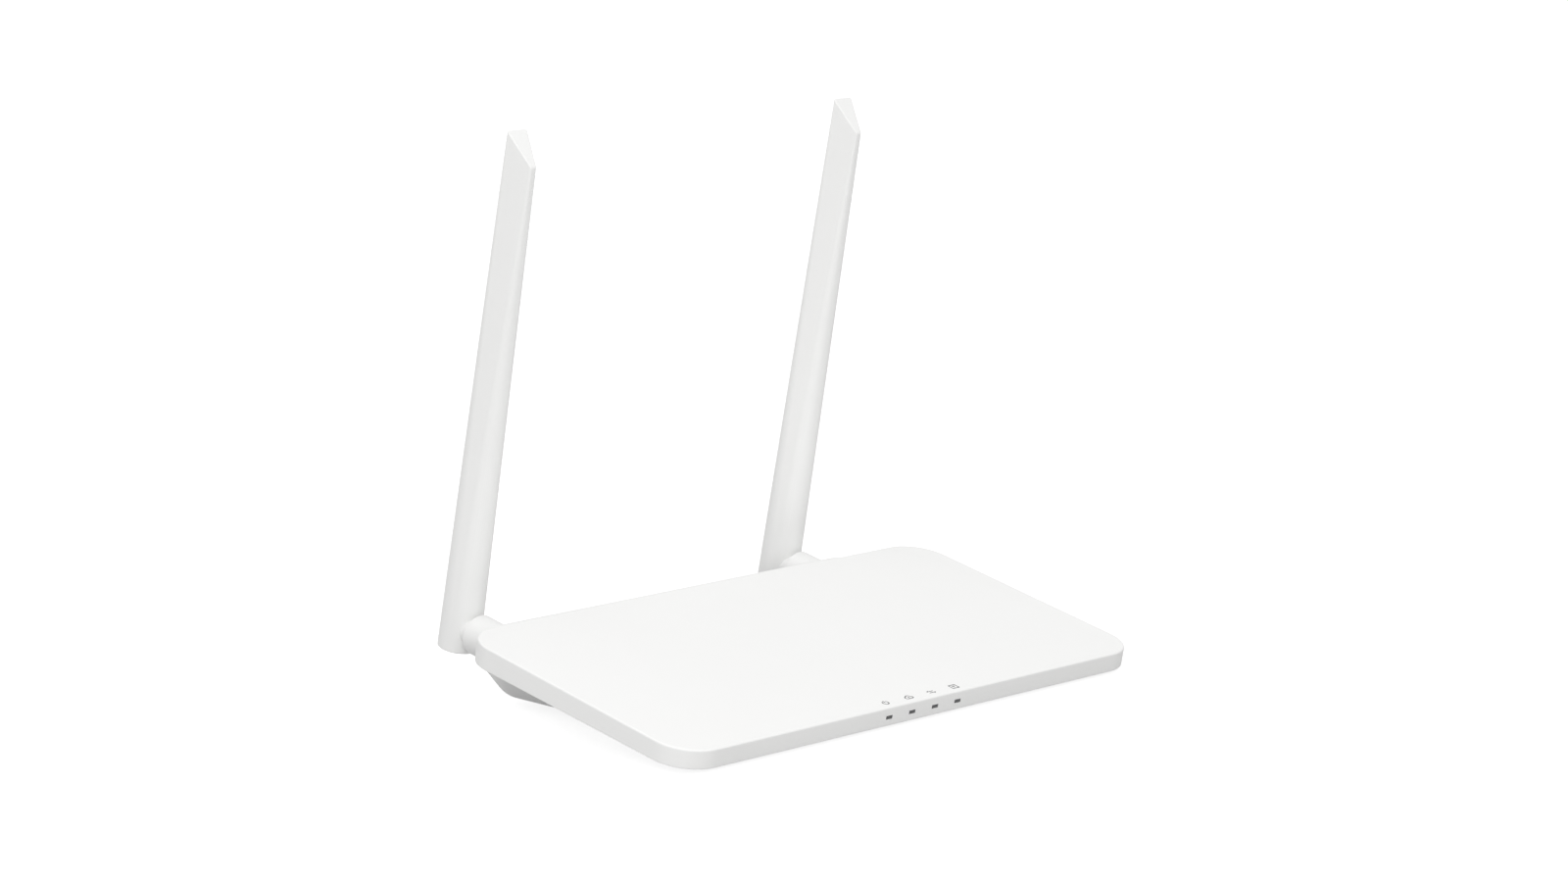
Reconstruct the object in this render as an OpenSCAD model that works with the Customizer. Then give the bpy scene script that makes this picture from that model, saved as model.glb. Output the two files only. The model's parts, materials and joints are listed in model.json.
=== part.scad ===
// Desktop wifi range extender with two swivelling antennas.
// A thin sloping plate stands on a wedge-shaped tub; the ports are in the rear wall.
// Origin: centre of the overall footprint, on the desk. +Y points to the rear, +Z up.

/* [Plate] */
// Width of the plate
plate_w = 200; // [180:1:240]
// Depth of the plate
plate_d = 101; // [90:1:122]
// Height of the plate's side at the front edge
plate_front_t = 6.1; // [5.8:0.1:8]
// Height of the plate's side at the rear edge
plate_rear_t = 7.4; // [6.8:0.1:9]
// Radius of the plate's corners
plate_corner_r = 13; // [8:0.5:24]
// Chamfer along the plate's top edge
plate_edge = 0.5; // [0.2:0.1:1]
// Slope of the plate towards the front, in degrees
plate_tilt = 11.6; // [9:0.1:14]
// Wall of both covers
wall = 1.8; // [1.2:0.1:2.4]
// Gap between parts that are laid into each other
lay_gap = 0.15; // [0.05:0.05:0.3]

/* [Tub] */
// Depth of the tub's bottom plane below the plate's top at the front edge
tub_front_depth = 5.2; // [4.6:0.1:7]
// Half width of the tub near the desk, before its lower rim is rounded
tub_low_half = 81.5; // [76:0.5:98]
// Half width of the tub where it meets the plate
tub_high_half = 95; // [86:0.5:97]
// Height above the desk at which the tub has its full width
tub_high_h = 16.8; // [14:0.2:18]
// Distance of the tub's rear wall behind the plate's centre
tub_rear = 62; // [58:0.5:75]
// Distance of the tub's front edge before the plate's centre
tub_front = 42; // [36:0.5:42]
// Plan radius of the tub's rear corners near the desk
tub_low_r = 9; // [5:0.5:16]
// Plan radius of the tub's rear corners at full width
tub_high_r = 24; // [14:0.5:30]
// Rounding of the tub's lower rim
tub_rim = 10; // [4:0.5:11]
// Half width of the raised block that holds the ports
block_half = 81; // [77:0.5:84]
// Thickness of the roof over the raised block
roof_t = 1.6; // [1.2:0.1:2]

/* [Feet and screws] */
// Height of the rubber feet below the tub
foot_h = 2; // [1:0.1:3]
// Radius of a rubber foot
foot_r = 6; // [4:0.5:8]
// Depth of the recess that a foot is glued into
foot_recess = 0.6; // [0.3:0.1:1]
// Radius of a case screw's thread
case_screw_r = 1.4; // [1.2:0.1:1.6]
// Radius of a case screw's head
case_head_r = 2.6; // [2.2:0.1:3]
// Radius of a board screw's thread
board_screw_r = 0.95; // [0.8:0.05:1.1]
// Radius of a board screw's head
board_head_r = 1.9; // [1.6:0.1:2.2]

/* [Antennas] */
// Distance of each antenna's axis from the middle
antenna_x = 70; // [60:0.5:72]
// Distance of the antennas' axes behind the plate's centre
antenna_y = 83; // [79:0.5:96]
// Radius of an antenna at its foot
antenna_r = 6.8; // [6.4:0.1:8]
// Lowest point of an antenna, from the plate's top
antenna_low = -21.6; // [-24:0.1:-21.5]
// Highest point of an antenna, from the plate's top
antenna_high = 146; // [110:1:150]
// Width of the blade's front edge at the tip
blade_front_w = 1.7; // [1:0.1:3]
// Width of the blade's back face at the tip
blade_back_w = 8; // [6:0.5:9]
// Distance of the blade's front edge before the axis at the tip
blade_front_y = 6.3; // [5:0.1:6.5]
// Distance of the blade's back face behind the axis at the tip
blade_back_y = 3.5; // [3:0.1:5]
// How far the tip's slanted cut drops from back to front
tip_drop = 9.4; // [4:0.2:14]
// Wall of an antenna's shell
shell_wall = 1.2; // [0.8:0.1:1.5]

/* [Swivels] */
// Height of the swivel axes, from the plate's top
swivel_z = -14.45; // [-14.8:0.05:-14]
// Radius of the swivel stub
stub_r = 6.5; // [6:0.1:6.5]
// Radius of the antenna's collar
collar_r = 4.8; // [4.7:0.1:6]
// Distance of the collar's face before the antenna's axis
collar_reach = 7.8; // [7.4:0.1:9]
// Radius of the spigot that the antenna turns on
spigot_r = 3.4; // [3.1:0.1:4.3]
// Radial running clearance round the spigot
spigot_clear = 0.08; // [0.03:0.01:0.08]
// Thickness of the friction washer
washer_t = 0.3; // [0.2:0.05:0.6]
// Radius of the stub's threaded neck
neck_r = 5; // [4.5:0.1:5.2]
// Radius of the cable bore in the stub
cable_bore_r = 1.5; // [1.2:0.1:2]
// Radius of the coaxial cables
coax_r = 0.9; // [0.6:0.1:1]

/* [Circuit board] */
// Half width of the circuit board
board_half_w = 60; // [57:0.5:61]
// Thickness of the circuit board
board_t = 1.2; // [1:0.1:1.6]
// Height of the posts that the board stands on
board_post_h = 1.4; // [1.2:0.1:1.8]
// Distance of the board's front edge before the plate's centre
board_front = 35.5; // [32:0.5:35.5]
// Thickness of the tinplate shield
shield_t = 0.3; // [0.2:0.1:0.4]

/* [Sockets and button] */
// Width of a network jack
jack_w = 16; // [15.5:0.1:17]
// Height of a network jack
jack_h = 13.2; // [11.6:0.1:13.3]
// Depth of a network jack
jack_d = 21; // [16:0.5:22]
// Distance of each network jack from the middle
jack_x = 10; // [9.5:0.5:14]
// Width of the power jack
power_w = 9; // [8.5:0.1:10]
// Height of the power jack
power_h = 11; // [10:0.1:12]
// Depth of the power jack
power_d = 14; // [12:0.5:15]
// Distance of the power jack from the middle
power_x = 38; // [32:0.5:44]
// Radius of the power jack's barrel opening
barrel_r = 3.15; // [2.8:0.05:3.3]
// Radius of the power jack's centre pin
pin_r = 1; // [0.8:0.05:1.25]
// Distance of the pairing button from the middle
button_x = 36; // [32:0.5:44]
// Radius of the pairing button
button_r = 2.5; // [2:0.1:3]
// Travel of the pairing button
button_travel = 0.6; // [0.3:0.1:1]
// How far the button stands out of the rear wall
button_proud = 1; // [0.7:0.1:1.5]

/* [Indicators] */
// Distance between two indicator windows
led_pitch = 10; // [8:0.5:14]
// Width of an indicator window
led_w = 2.8; // [2:0.1:4]
// Height of an indicator window
led_h = 1.2; // [0.8:0.1:1.4]
// Depth of the windows' centre line below the plate's top
led_depth = 3.3; // [3.1:0.1:3.4]

/* [Hidden] */

$fn = 64;
hull_fn = 32;
eps = 0.01;
cut = 1;                 // how far a cut runs past the surface it opens
big = 400;               // larger than any part

half_d = plate_d / 2;
under_angle = atan((plate_rear_t - plate_front_t) / plate_d);
plate_z = foot_h + half_d * sin(plate_tilt) + tub_front_depth * cos(plate_tilt);
front_y = -half_d * cos(plate_tilt) + plate_edge * sin(plate_tilt);
rear_y = (antenna_y + antenna_r) * cos(plate_tilt) - antenna_low * sin(plate_tilt);
mid_y = (front_y + rear_y) / 2;

// The raised block and its roof
block_r = 9;
block_low_h = 11.5;

// Inside of the tub and the circuit board
floor_h = foot_h + wall;
board_low = floor_h + board_post_h;
board_top = board_low + board_t;
inner_rim = tub_rim - wall;
board_clear = 0.6;
board_rear = tub_rear - inner_pull(board_low) - board_clear;
well_front = board_front + 0.5;
port_recess = 0.8;
port_face = tub_rear - port_recess;
jack_back = port_face - jack_d;
port_gap = 0.2;

// How far the inside of the tub's curved rim lies inside its outline at height h
function inner_pull(h) = let (rise = min((h - floor_h) / inner_rim, 1))
    wall + inner_rim * (1 - sqrt(1 - (1 - rise) * (1 - rise)));

// Screws, feet and board posts, as [x, y] places
front_screw = [plate_w / 2 - 12, -half_d + 14.5];
rear_screw = [66, 30];
front_foot = [58, -26];
rear_foot = [60, 43];
foot_gap = 0.1;
board_posts = [[-54, -29], [54, -29], [-54, 20], [54, 20]];
screw_hole_gap = 0.2;
screw_bore_gap = 0.05;
pillar_r = 3;
column_r = 4.2;
rear_pillar_low = -13;
pillar_gap = 0.15;
front_pillar = plate_front_t - 2 * wall - lay_gap - pillar_gap;
front_web = 0.8;         // plastic under a front screw's head
front_head_z = -wall - front_pillar - pillar_gap - front_web;
thread_end = 0.3;        // how far a front screw stops short of the lid
column_top = rear_pillar_low - 0.1;
screw_web = 2;           // plastic under a rear screw's head
head_clear = 0.3;
head_t = 1.6;
screw_grip = 5;
post_r = 2.8;
post_hole_r = board_screw_r + screw_bore_gap;
board_hole_r = board_screw_r + 0.25;
board_screw_depth = 2.2;
board_head_t = 0.9;

// Swivels, measured along the stub's own axis in the plate's frame
boss_r = 8;
boss_inner = 55.4;
boss_proud = 1.6;
boss_outer = tub_rear * cos(plate_tilt) + boss_proud;
seat_gap = 0.05;         // between faces that are screwed or glued together
turn_gap = 0.08;         // between the washer and the antenna's collar
stub_face = antenna_y - collar_reach - washer_t - turn_gap;
collar_inner = antenna_y - 3;
spigot_end = antenna_y - 1;
groove_start = collar_inner + 0.3;
washer_inset = 0.2;      // the washer lies this far inside the collar's edge
washer_gap = 0.1;
clip_t = 0.7;
clip_r = 4.75;
groove_r = spigot_r - 0.8;
neck_end = boss_inner - 4.2;
nut_t = 3;
nut_flats = 13;
coax_joint = spigot_end + 0.3;

// Antenna inside
cap_t = 1.6;
cap_gap = 0.1;
strip_t = 0.8;
strip_d = 5;
strip_low = -6.5;
strip_top = antenna_high - 26;
rib_low = 58;
rib_t = 1.6;
coax_bend_r = 1.8;
coax_run = 1;

// Sockets
jack_floor = 1.3;
cavity_w = 11.9;
cavity_h = 9.2;
cavity_d = 15;
latch_w = 6.4;
latch_drop = 0.9;
contact_w = 0.5;
contact_t = 0.35;
contact_pitch = 1.02;
contact_slope = 7;
power_axis_h = 6.4;
pin_length = 9.5;
barrel_depth = 10.5;
button_h = board_top + 8.6;
button_gap = 0.08;
button_flange_r = 3.4;
button_flange_t = 1;
switch_w = 6;
switch_h = 10.5;
switch_d = 3.6;

// Indicators
guide_gap = 0.05;
guide_bar_t = 2;
guide_bar_y = -board_front - 3.9;
guide_count = 4;

// Ventilation slots in the tub's floor
vent_count = 9;
vent_pitch = 4.5;
vent_w = 1.6;
vent_l = 16;
vent_rows = [-22, 8];

// Parts that stand on the board: [x, y] of the centre and [w, d, h]
processor_place = [0, 6];
processor_size = [14, 14, 1.2];
radio_place = [-29, -6];
radio_size = [7, 7, 0.9];
shield_size = [30, 24, 3];
memory_place = [22, 8];
memory_size = [5.3, 5.2, 1.8];
crystal_place = [22, -8];
crystal_size = [11, 4.6, 3.4];
transformer_y = 29;
transformer_size = [12.6, 9.4, 5.6];
inductor_place = [-38, 27];
inductor_size = [7.3, 7.3, 4];
capacitor_places = [[-50, 42], [-27, 33]];
capacitor_r = 4;
capacitor_h = 8;
coax_socket_x = 48;
coax_socket_y = 6;
coax_socket_size = [2.6, 2.6, 1.6];
led_size = [1.6, 1, 1];

// Route of a pigtail on the right-hand side, from its board socket, past the inner side of
// the rear screw's column, to the mouth of the stub
pass_h = board_top + 5.2;
column_y = (rear_screw[1] - sin(plate_tilt) * (pass_h - plate_z)) / cos(plate_tilt);
pigtail_start = [coax_socket_x, coax_socket_y + coax_socket_size[1] / 2 + seat_gap,
    board_top + coax_r + seat_gap];
pigtail_pass = [rear_screw[0] - column_r - coax_r - 0.6, column_y, pass_h];
pigtail_mouth = plate_to_desk([antenna_x, neck_end - 2.5, swivel_z]);
pigtail_points = [pigtail_start, pigtail_start + [0.2, 3.6, 0], pigtail_start + [2, 9.6, 0.7],
    pigtail_pass - [5, 8, 1.6], pigtail_pass + [0, 1.2, 0], pigtail_mouth - [3.5, 9.6, 0.9]];

// ---------- frames ----------

module on_desk() {
    translate([0, -mid_y, 0]) children();
}

module on_plate() {
    on_desk() translate([0, 0, plate_z]) rotate([plate_tilt, 0, 0]) children();
}

module on_board() {
    on_desk() translate([0, 0, board_top]) children();
}

// Along the swivel axis of one side: local +Z is the plate's +Y
module on_swivel(side) {
    on_plate() translate([side * antenna_x, 0, swivel_z]) rotate([-90, 0, 0]) children();
}

module on_antenna(side) {
    on_plate() translate([side * antenna_x, antenna_y, 0]) children();
}

// ---------- shared shapes ----------

// Rectangle from x -half to half and y low to high, with round corners
module round_rect(half, low, high, r) {
    translate([-half + r, low]) square([2 * (half - r), high - low]);
    translate([-half, low + r]) square([2 * half, high - low - 2 * r]);
    for (x = [-half + r, half - r], y = [low + r, high - r])
        translate([x, y]) circle(r);
}

// Rectangle whose two rear corners are round
module rear_round_rect(half, low, high, r) {
    translate([-half, low]) square([2 * half, high - low - r]);
    translate([-half + r, high - r - eps]) square([2 * (half - r), r + eps]);
    for (x = [-half + r, half - r]) translate([x, high - r]) circle(r);
}

// Solid round rectangle with a chamfer along its upper edge, top face at z = 0
module chamfered_plate(half_w, half_l, r, t, edge) {
    translate([0, 0, -t]) linear_extrude(t - edge) round_rect(half_w, -half_l, half_l, r);
    for (x = [-half_w + r, half_w - r], y = [-half_l + r, half_l - r])
        translate([x, y, -edge]) cylinder(edge, r, r - edge);
    translate([-half_w + r, 0, 0]) rotate([90, 0, 90]) linear_extrude(2 * (half_w - r))
        polygon([[-half_l, -edge], [half_l, -edge], [half_l - edge, 0], [-half_l + edge, 0]]);
    translate([0, half_l - r, 0]) rotate([90, 0, 0]) linear_extrude(2 * (half_l - r))
        polygon([[-half_w, -edge], [half_w, -edge], [half_w - edge, 0], [-half_w + edge, 0]]);
}

// Everything below the plate's underside plane, shifted by lift, in the plate's frame
module below_underside(lift = 0) {
    translate([0, -half_d, -plate_front_t + lift]) rotate([-under_angle, 0, 0])
        translate([-big / 2, -big / 2, -big]) cube([big, big, big]);
}

// Outline of the tub at a height, pulled in by inset; the rim curves in near the desk
module tub_ring(h, half, r, inset) {
    translate([0, 0, h]) linear_extrude(eps)
        rear_round_rect(half - inset, -tub_front + inset, tub_rear - inset, max(r - inset, 1),
            $fn = hull_fn);
}

// Body of the tub; inset is 0 outside and the wall thickness inside
module tub_body(inset) {
    rim = tub_rim - inset;
    hull() {
        for (a = [0 : 22.5 : 90]) {
            pull = inset + rim * (1 - cos(a));
            translate([0, 0, foot_h + inset + rim * (1 - sin(a))]) linear_extrude(eps)
                rear_round_rect(tub_low_half - pull, -tub_front + inset, tub_rear - pull,
                    max(tub_low_r - pull, 1), $fn = hull_fn);
        }
        tub_ring(tub_high_h, tub_high_half, tub_high_r, inset);
    }
}

// Straight part of the tub above its full width, only below the plate
module tub_collar(inset) {
    translate([0, 0, tub_high_h]) linear_extrude(big / 8)
        rear_round_rect(tub_high_half - inset, -tub_front + inset, tub_rear - inset,
            tub_high_r - inset);
}

module port_block(inset) {
    translate([0, 0, block_low_h]) linear_extrude(big / 8)
        rear_round_rect(block_half - inset, 0, tub_rear - inset, block_r - inset);
}

// Half space in front of the plate's rear edge, in the plate's frame
module before_rear_edge(back) {
    translate([-big / 2, half_d - back - big, -big / 2]) cube([big, big, big]);
}

module screw(r, head_r, length, head) {
    cylinder(length, r, r);
    translate([0, 0, -head]) difference() {
        cylinder(head, head_r, head_r);
        for (turn = [0, 90]) rotate([0, 0, turn])
            translate([-head_r * 0.6, -0.3, -cut]) cube([head_r * 1.2, 0.6, cut + head * 0.5]);
    }
}

// Box that stands on the board, by the [x, y] of its centre
module chip(place, size) {
    translate([place[0] - size[0] / 2, place[1] - size[1] / 2, 0]) cube(size);
}

// ---------- tube along a route ----------

function unit(v) = v / norm(v);

function smooth_point(a, b, c, d, t) = 0.5 * ((2 * b) + (c - a) * t
    + (2 * a - 5 * b + 4 * c - d) * t * t + (3 * b - a - 3 * c + d) * t * t * t);

function smooth_route(p, steps) = [
    for (i = [0 : len(p) - 2], s = [0 : steps - 1])
        smooth_point(p[max(i - 1, 0)], p[i], p[i + 1], p[min(i + 2, len(p) - 1)], s / steps),
    p[len(p) - 1]
];

function heading(p, i) = unit(p[min(i + 1, len(p) - 1)] - p[max(i - 1, 0)]);

function tube_ring(p, t, r, n) = let (side = unit(cross(t, [0, 0, 1])), up = cross(side, t))
    [for (i = [0 : n - 1]) p + r * (cos(360 * i / n) * side + sin(360 * i / n) * up)];

module tube(route, r, sides) {
    last = len(route) - 1;
    points = [for (i = [0 : last]) each tube_ring(route[i], heading(route, i), r, sides)];
    skin = [for (i = [0 : last - 1], j = [0 : sides - 1])
        let (k = (j + 1) % sides)
        [i * sides + j, i * sides + k, (i + 1) * sides + k, (i + 1) * sides + j]];
    first_cap = [for (j = [sides - 1 : -1 : 0]) j];
    last_cap = [for (j = [0 : sides - 1]) last * sides + j];
    polyhedron(points, concat(skin, [first_cap, last_cap]));
}

// ---------- covers ----------

module led_windows(w, h, from, to) {
    for (i = [0 : guide_count - 1])
        translate([(i - (guide_count - 1) / 2) * led_pitch - w / 2, from, -led_depth - h / 2])
            cube([w, to - from, h]);
}

// Roof over the raised block, behind the plate
module roof() {
    intersection() {
        translate([0, 0, plate_z]) rotate([plate_tilt, 0, 0]) difference() {
            below_underside(roof_t);
            below_underside(0);
        }
        port_block(0);
        translate([0, 0, plate_z]) rotate([plate_tilt, 0, 0])
            translate([-big / 2, half_d - wall, -big / 2]) cube([big, big, big]);
    }
}

module screw_places(place) {
    for (side = [-1, 1]) translate([side * place[0], place[1], 0]) children();
}

module top_cover() {
    color("white") {
        on_plate() difference() {
            union() {
                difference() {
                    chamfered_plate(plate_w / 2, half_d, plate_corner_r, plate_rear_t, plate_edge);
                    translate([0, 0, -wall - big]) linear_extrude(big)
                        round_rect(plate_w / 2 - wall, -half_d + wall, half_d - wall,
                            plate_corner_r - wall);
                }
                screw_places(front_screw) translate([0, 0, -wall - front_pillar])
                    cylinder(front_pillar + eps, pillar_r, pillar_r);
                screw_places(rear_screw) translate([0, 0, rear_pillar_low])
                    cylinder(-rear_pillar_low - wall + eps, pillar_r, pillar_r);
            }
            difference() {
                below_underside(0);
                translate([0, 0, -big / 2]) linear_extrude(big)
                    round_rect(plate_w / 2 - wall - 2, -half_d + wall + 2, half_d - wall - 2,
                        plate_corner_r - wall - 2);
            }
            screw_places(front_screw) translate([0, 0, -wall - front_pillar - cut])
                cylinder(front_pillar + cut, case_screw_r + screw_bore_gap,
                    case_screw_r + screw_bore_gap);
            screw_places(rear_screw) translate([0, 0, rear_pillar_low - cut])
                cylinder(screw_grip + 2 * cut, case_screw_r + screw_bore_gap,
                    case_screw_r + screw_bore_gap);
            led_windows(led_w, led_h, -half_d - cut, -half_d + wall + cut);
        }
        on_desk() roof();
    }
}

module stub_bosses() {
    for (side = [-1, 1]) translate([side * antenna_x, 0, swivel_z]) rotate([-90, 0, 0])
        translate([0, 0, boss_inner]) cylinder(boss_outer - boss_inner, boss_r, boss_r);
}

module tub_shell() {
    intersection() {
        union() {
            tub_body(0);
            intersection() {
                tub_collar(0);
                translate([0, 0, plate_z]) rotate([plate_tilt, 0, 0]) before_rear_edge(0);
            }
            port_block(0);
            translate([0, 0, plate_z]) rotate([plate_tilt, 0, 0]) stub_bosses();
        }
        translate([0, 0, plate_z]) rotate([plate_tilt, 0, 0]) below_underside(-seat_gap);
    }
}

module tub_hollow() {
    difference() {
        union() {
            tub_body(wall);
            intersection() {
                tub_collar(wall);
                translate([0, 0, plate_z]) rotate([plate_tilt, 0, 0])
                    before_rear_edge(wall + lay_gap + wall);
            }
            port_block(wall);
        }
        translate([-big / 2, -big - well_front, -big / 2]) cube([big, big, big]);
        translate([0, 0, plate_z]) rotate([plate_tilt, 0, 0]) stub_bosses();
    }
}

module panel() {
    intersection() {
        translate([0, 0, -big / 2]) linear_extrude(big)
            round_rect(plate_w / 2 - wall - lay_gap, -half_d + wall + lay_gap,
                half_d - wall - lay_gap, plate_corner_r - wall - lay_gap);
        difference() {
            below_underside(wall);
            below_underside(-2 * seat_gap);
        }
    }
}

module port_windows() {
    for (x = [-jack_x, jack_x])
        translate([x - jack_w / 2 - port_gap, jack_back, board_top - port_gap])
            cube([jack_w + 2 * port_gap, big / 4, jack_h + 2 * port_gap]);
    translate([-power_x - power_w / 2 - port_gap, port_face - power_d, board_top - port_gap])
        cube([power_w + 2 * port_gap, big / 4, power_h + 2 * port_gap]);
    translate([button_x, tub_rear - wall - cut, button_h]) rotate([-90, 0, 0])
        cylinder(wall + 2 * cut, button_r + button_gap, button_r + button_gap);
}

module vents() {
    for (i = [0 : vent_count - 1], y = vent_rows)
        translate([(i - (vent_count - 1) / 2) * vent_pitch - vent_w / 2, y, foot_h - cut])
            cube([vent_w, vent_l, wall + 2 * cut]);
}

module bottom_cover() {
    color("white") on_desk() difference() {
        union() {
            difference() {
                union() {
                    tub_shell();
                    translate([0, 0, plate_z]) rotate([plate_tilt, 0, 0]) panel();
                }
                tub_hollow();
            }
            for (p = board_posts) translate([p[0], p[1], foot_h + wall / 2])
                cylinder(board_low - foot_h - wall / 2, post_r, post_r);
            intersection() {
                translate([0, 0, plate_z]) rotate([plate_tilt, 0, 0]) screw_places(rear_screw)
                    translate([0, 0, column_top - big / 8])
                        cylinder(big / 8, column_r, column_r);
                tub_body(wall / 2);
            }
        }
        for (p = board_posts) translate([p[0], p[1], board_low - board_screw_depth])
            cylinder(board_screw_depth + cut, post_hole_r, post_hole_r);
        for (x = [-1, 1], p = [front_foot, rear_foot])
            translate([x * p[0], p[1], foot_h - cut])
                cylinder(foot_recess + cut, foot_r + foot_gap, foot_r + foot_gap);
        translate([0, 0, plate_z]) rotate([plate_tilt, 0, 0]) {
            screw_places(rear_screw) translate([0, 0, column_top - screw_web])
                cylinder(screw_web + cut, case_screw_r + screw_hole_gap,
                    case_screw_r + screw_hole_gap);
            screw_places(rear_screw) translate([0, 0, column_top - screw_web - big / 8])
                cylinder(big / 8, case_head_r + head_clear, case_head_r + head_clear);
            screw_places(front_screw) translate([0, 0, -plate_rear_t - cut])
                cylinder(plate_rear_t, case_screw_r + screw_hole_gap,
                    case_screw_r + screw_hole_gap);
            screw_places(front_screw) translate([0, 0, front_head_z - big / 8])
                cylinder(big / 8, case_head_r + head_clear, case_head_r + head_clear);
            for (side = [-1, 1]) translate([side * antenna_x, 0, swivel_z]) rotate([-90, 0, 0])
                translate([0, 0, boss_inner - cut])
                    cylinder(boss_outer - boss_inner + 2 * cut, neck_r + seat_gap, neck_r + seat_gap);
        }
        port_windows();
        vents();
    }
}

// ---------- fasteners and feet ----------

module case_screws() {
    color("silver") on_plate() {
        screw_places(front_screw) translate([0, 0, front_head_z])
            screw(case_screw_r, case_head_r, front_web + pillar_gap + front_pillar - thread_end,
                0.9);
        screw_places(rear_screw) translate([0, 0, column_top - screw_web])
            screw(case_screw_r, case_head_r, screw_web + 0.1 + screw_grip, head_t);
    }
}

module board_screws() {
    color("silver") on_desk() for (p = board_posts)
        translate([p[0], p[1], board_top]) mirror([0, 0, 1])
            screw(board_screw_r, board_head_r, board_screw_depth + board_t - 0.2, board_head_t);
}

module rubber_feet() {
    color("dimgray") on_desk() for (x = [-1, 1], p = [front_foot, rear_foot])
        translate([x * p[0], p[1], 0]) cylinder(foot_h + foot_recess, foot_r, foot_r);
}

// ---------- circuit board ----------

module main_board() {
    color("seagreen") on_desk() difference() {
        translate([-board_half_w, -board_front, board_low])
            cube([2 * board_half_w, board_front + board_rear, board_t]);
        for (p = board_posts) translate([p[0], p[1], board_low - cut])
            cylinder(board_t + 2 * cut, board_hole_r, board_hole_r);
    }
}

module processor_chip() {
    color("#222222") on_board() chip(processor_place, processor_size);
}

module radio_chip() {
    color("#222222") on_board() chip(radio_place, radio_size);
}

module radio_shield() {
    color("silver") on_board() difference() {
        chip(radio_place, shield_size);
        translate([0, 0, -shield_t])
            chip(radio_place, shield_size - [2 * shield_t, 2 * shield_t, 0]);
    }
}

module memory_chip() {
    color("#222222") on_board() chip(memory_place, memory_size);
}

module clock_crystal() {
    color("silver") on_board() {
        r = crystal_size[1] / 2;
        for (x = [-1, 1])
            translate([crystal_place[0] + x * (crystal_size[0] / 2 - r), crystal_place[1], 0])
                cylinder(crystal_size[2], r, r);
        chip(crystal_place, [crystal_size[0] - 2 * r, crystal_size[1], crystal_size[2]]);
    }
}

module line_transformers() {
    color("#222222") on_board() for (x = [-jack_x, jack_x])
        chip([x, transformer_y], transformer_size);
}

module capacitors() {
    color("#3a3f55") on_board() for (p = capacitor_places) translate([p[0], p[1], 0])
        cylinder(capacitor_h, capacitor_r, capacitor_r);
}

module power_inductor() {
    color("#444444") on_board() chip(inductor_place, inductor_size);
}

module status_leds() {
    color("ivory") on_board() for (i = [0 : guide_count - 1])
        chip([(i - (guide_count - 1) / 2) * led_pitch, -board_front + led_size[1] / 2 + 0.2],
            led_size);
}

module light_guides() {
    bar_w = (guide_count - 1) * led_pitch + led_w + 2;
    color("#303336") on_plate() {
        led_windows(led_w - 2 * guide_gap, led_h - 2 * guide_gap, -half_d + 0.1,
            guide_bar_y + eps);
        translate([-bar_w / 2, guide_bar_y, -led_depth - led_h / 2 - 0.4])
            cube([bar_w, guide_bar_t, led_h + 0.6]);
    }
}

module coax_sockets() {
    color("gold") on_board() for (x = [-coax_socket_x, coax_socket_x])
        chip([x, coax_socket_y], coax_socket_size);
}

// ---------- sockets and button ----------

module jack_cavity() {
    translate([-cavity_w / 2, port_face - cavity_d, jack_floor + latch_drop])
        cube([cavity_w, cavity_d + cut, cavity_h]);
}

module network_jack(x) {
    on_board() translate([x, 0, 0]) difference() {
        translate([-jack_w / 2, jack_back, 0]) cube([jack_w, jack_d, jack_h]);
        jack_cavity();
        translate([-latch_w / 2, port_face - cavity_d, jack_floor])
            cube([latch_w, cavity_d + cut, latch_drop + eps]);
    }
}

module left_network_jack() { color("#2b2b2b") network_jack(-jack_x); }
module right_network_jack() { color("#2b2b2b") network_jack(jack_x); }

// Eight spring contacts in each jack, sloping down from the back of the cavity
module jack_contacts() {
    color("gold") on_board() for (x = [-jack_x, jack_x]) translate([x, 0, 0])
        intersection() {
            jack_cavity();
            for (i = [0 : 7])
                translate([(i - 3.5) * contact_pitch - contact_w / 2, port_face - cavity_d - 1,
                    jack_floor + latch_drop + cavity_h - contact_t - 0.1])
                    rotate([-contact_slope, 0, 0])
                        cube([contact_w, cavity_d - 3, contact_t]);
        }
}

module power_jack() {
    color("#1f1f1f") on_board() difference() {
        translate([-power_x - power_w / 2, port_face - power_d, 0])
            cube([power_w, power_d, power_h]);
        translate([-power_x, port_face + cut, power_axis_h]) rotate([90, 0, 0])
            cylinder(barrel_depth + cut, barrel_r, barrel_r);
    }
}

module power_pin() {
    color("silver") on_board() translate([-power_x, port_face - barrel_depth, power_axis_h])
        rotate([-90, 0, 0]) cylinder(pin_length, pin_r, pin_r);
}

module button_switch() {
    back = tub_rear - wall - button_flange_t - button_travel - 1.2;
    color("#2b2b2b") on_board() {
        translate([button_x - switch_w / 2, back - switch_d, 0])
            cube([switch_w, switch_d, switch_h]);
        translate([button_x, back - eps, button_h - board_top]) rotate([-90, 0, 0])
            cylinder(0.5 + eps, 1.5, 1.5);
    }
}

module pairing_button() {
    seat = tub_rear - wall - 0.1;
    color("white") on_desk() translate([button_x, 0, button_h]) {
        translate([0, seat - button_flange_t, 0]) rotate([-90, 0, 0])
            cylinder(wall + 0.1 + button_flange_t + button_proud, button_r, button_r);
        translate([0, seat - button_flange_t, 0]) rotate([-90, 0, 0])
            cylinder(button_flange_t, button_flange_r, button_flange_r);
    }
}

// ---------- swivels ----------

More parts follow.
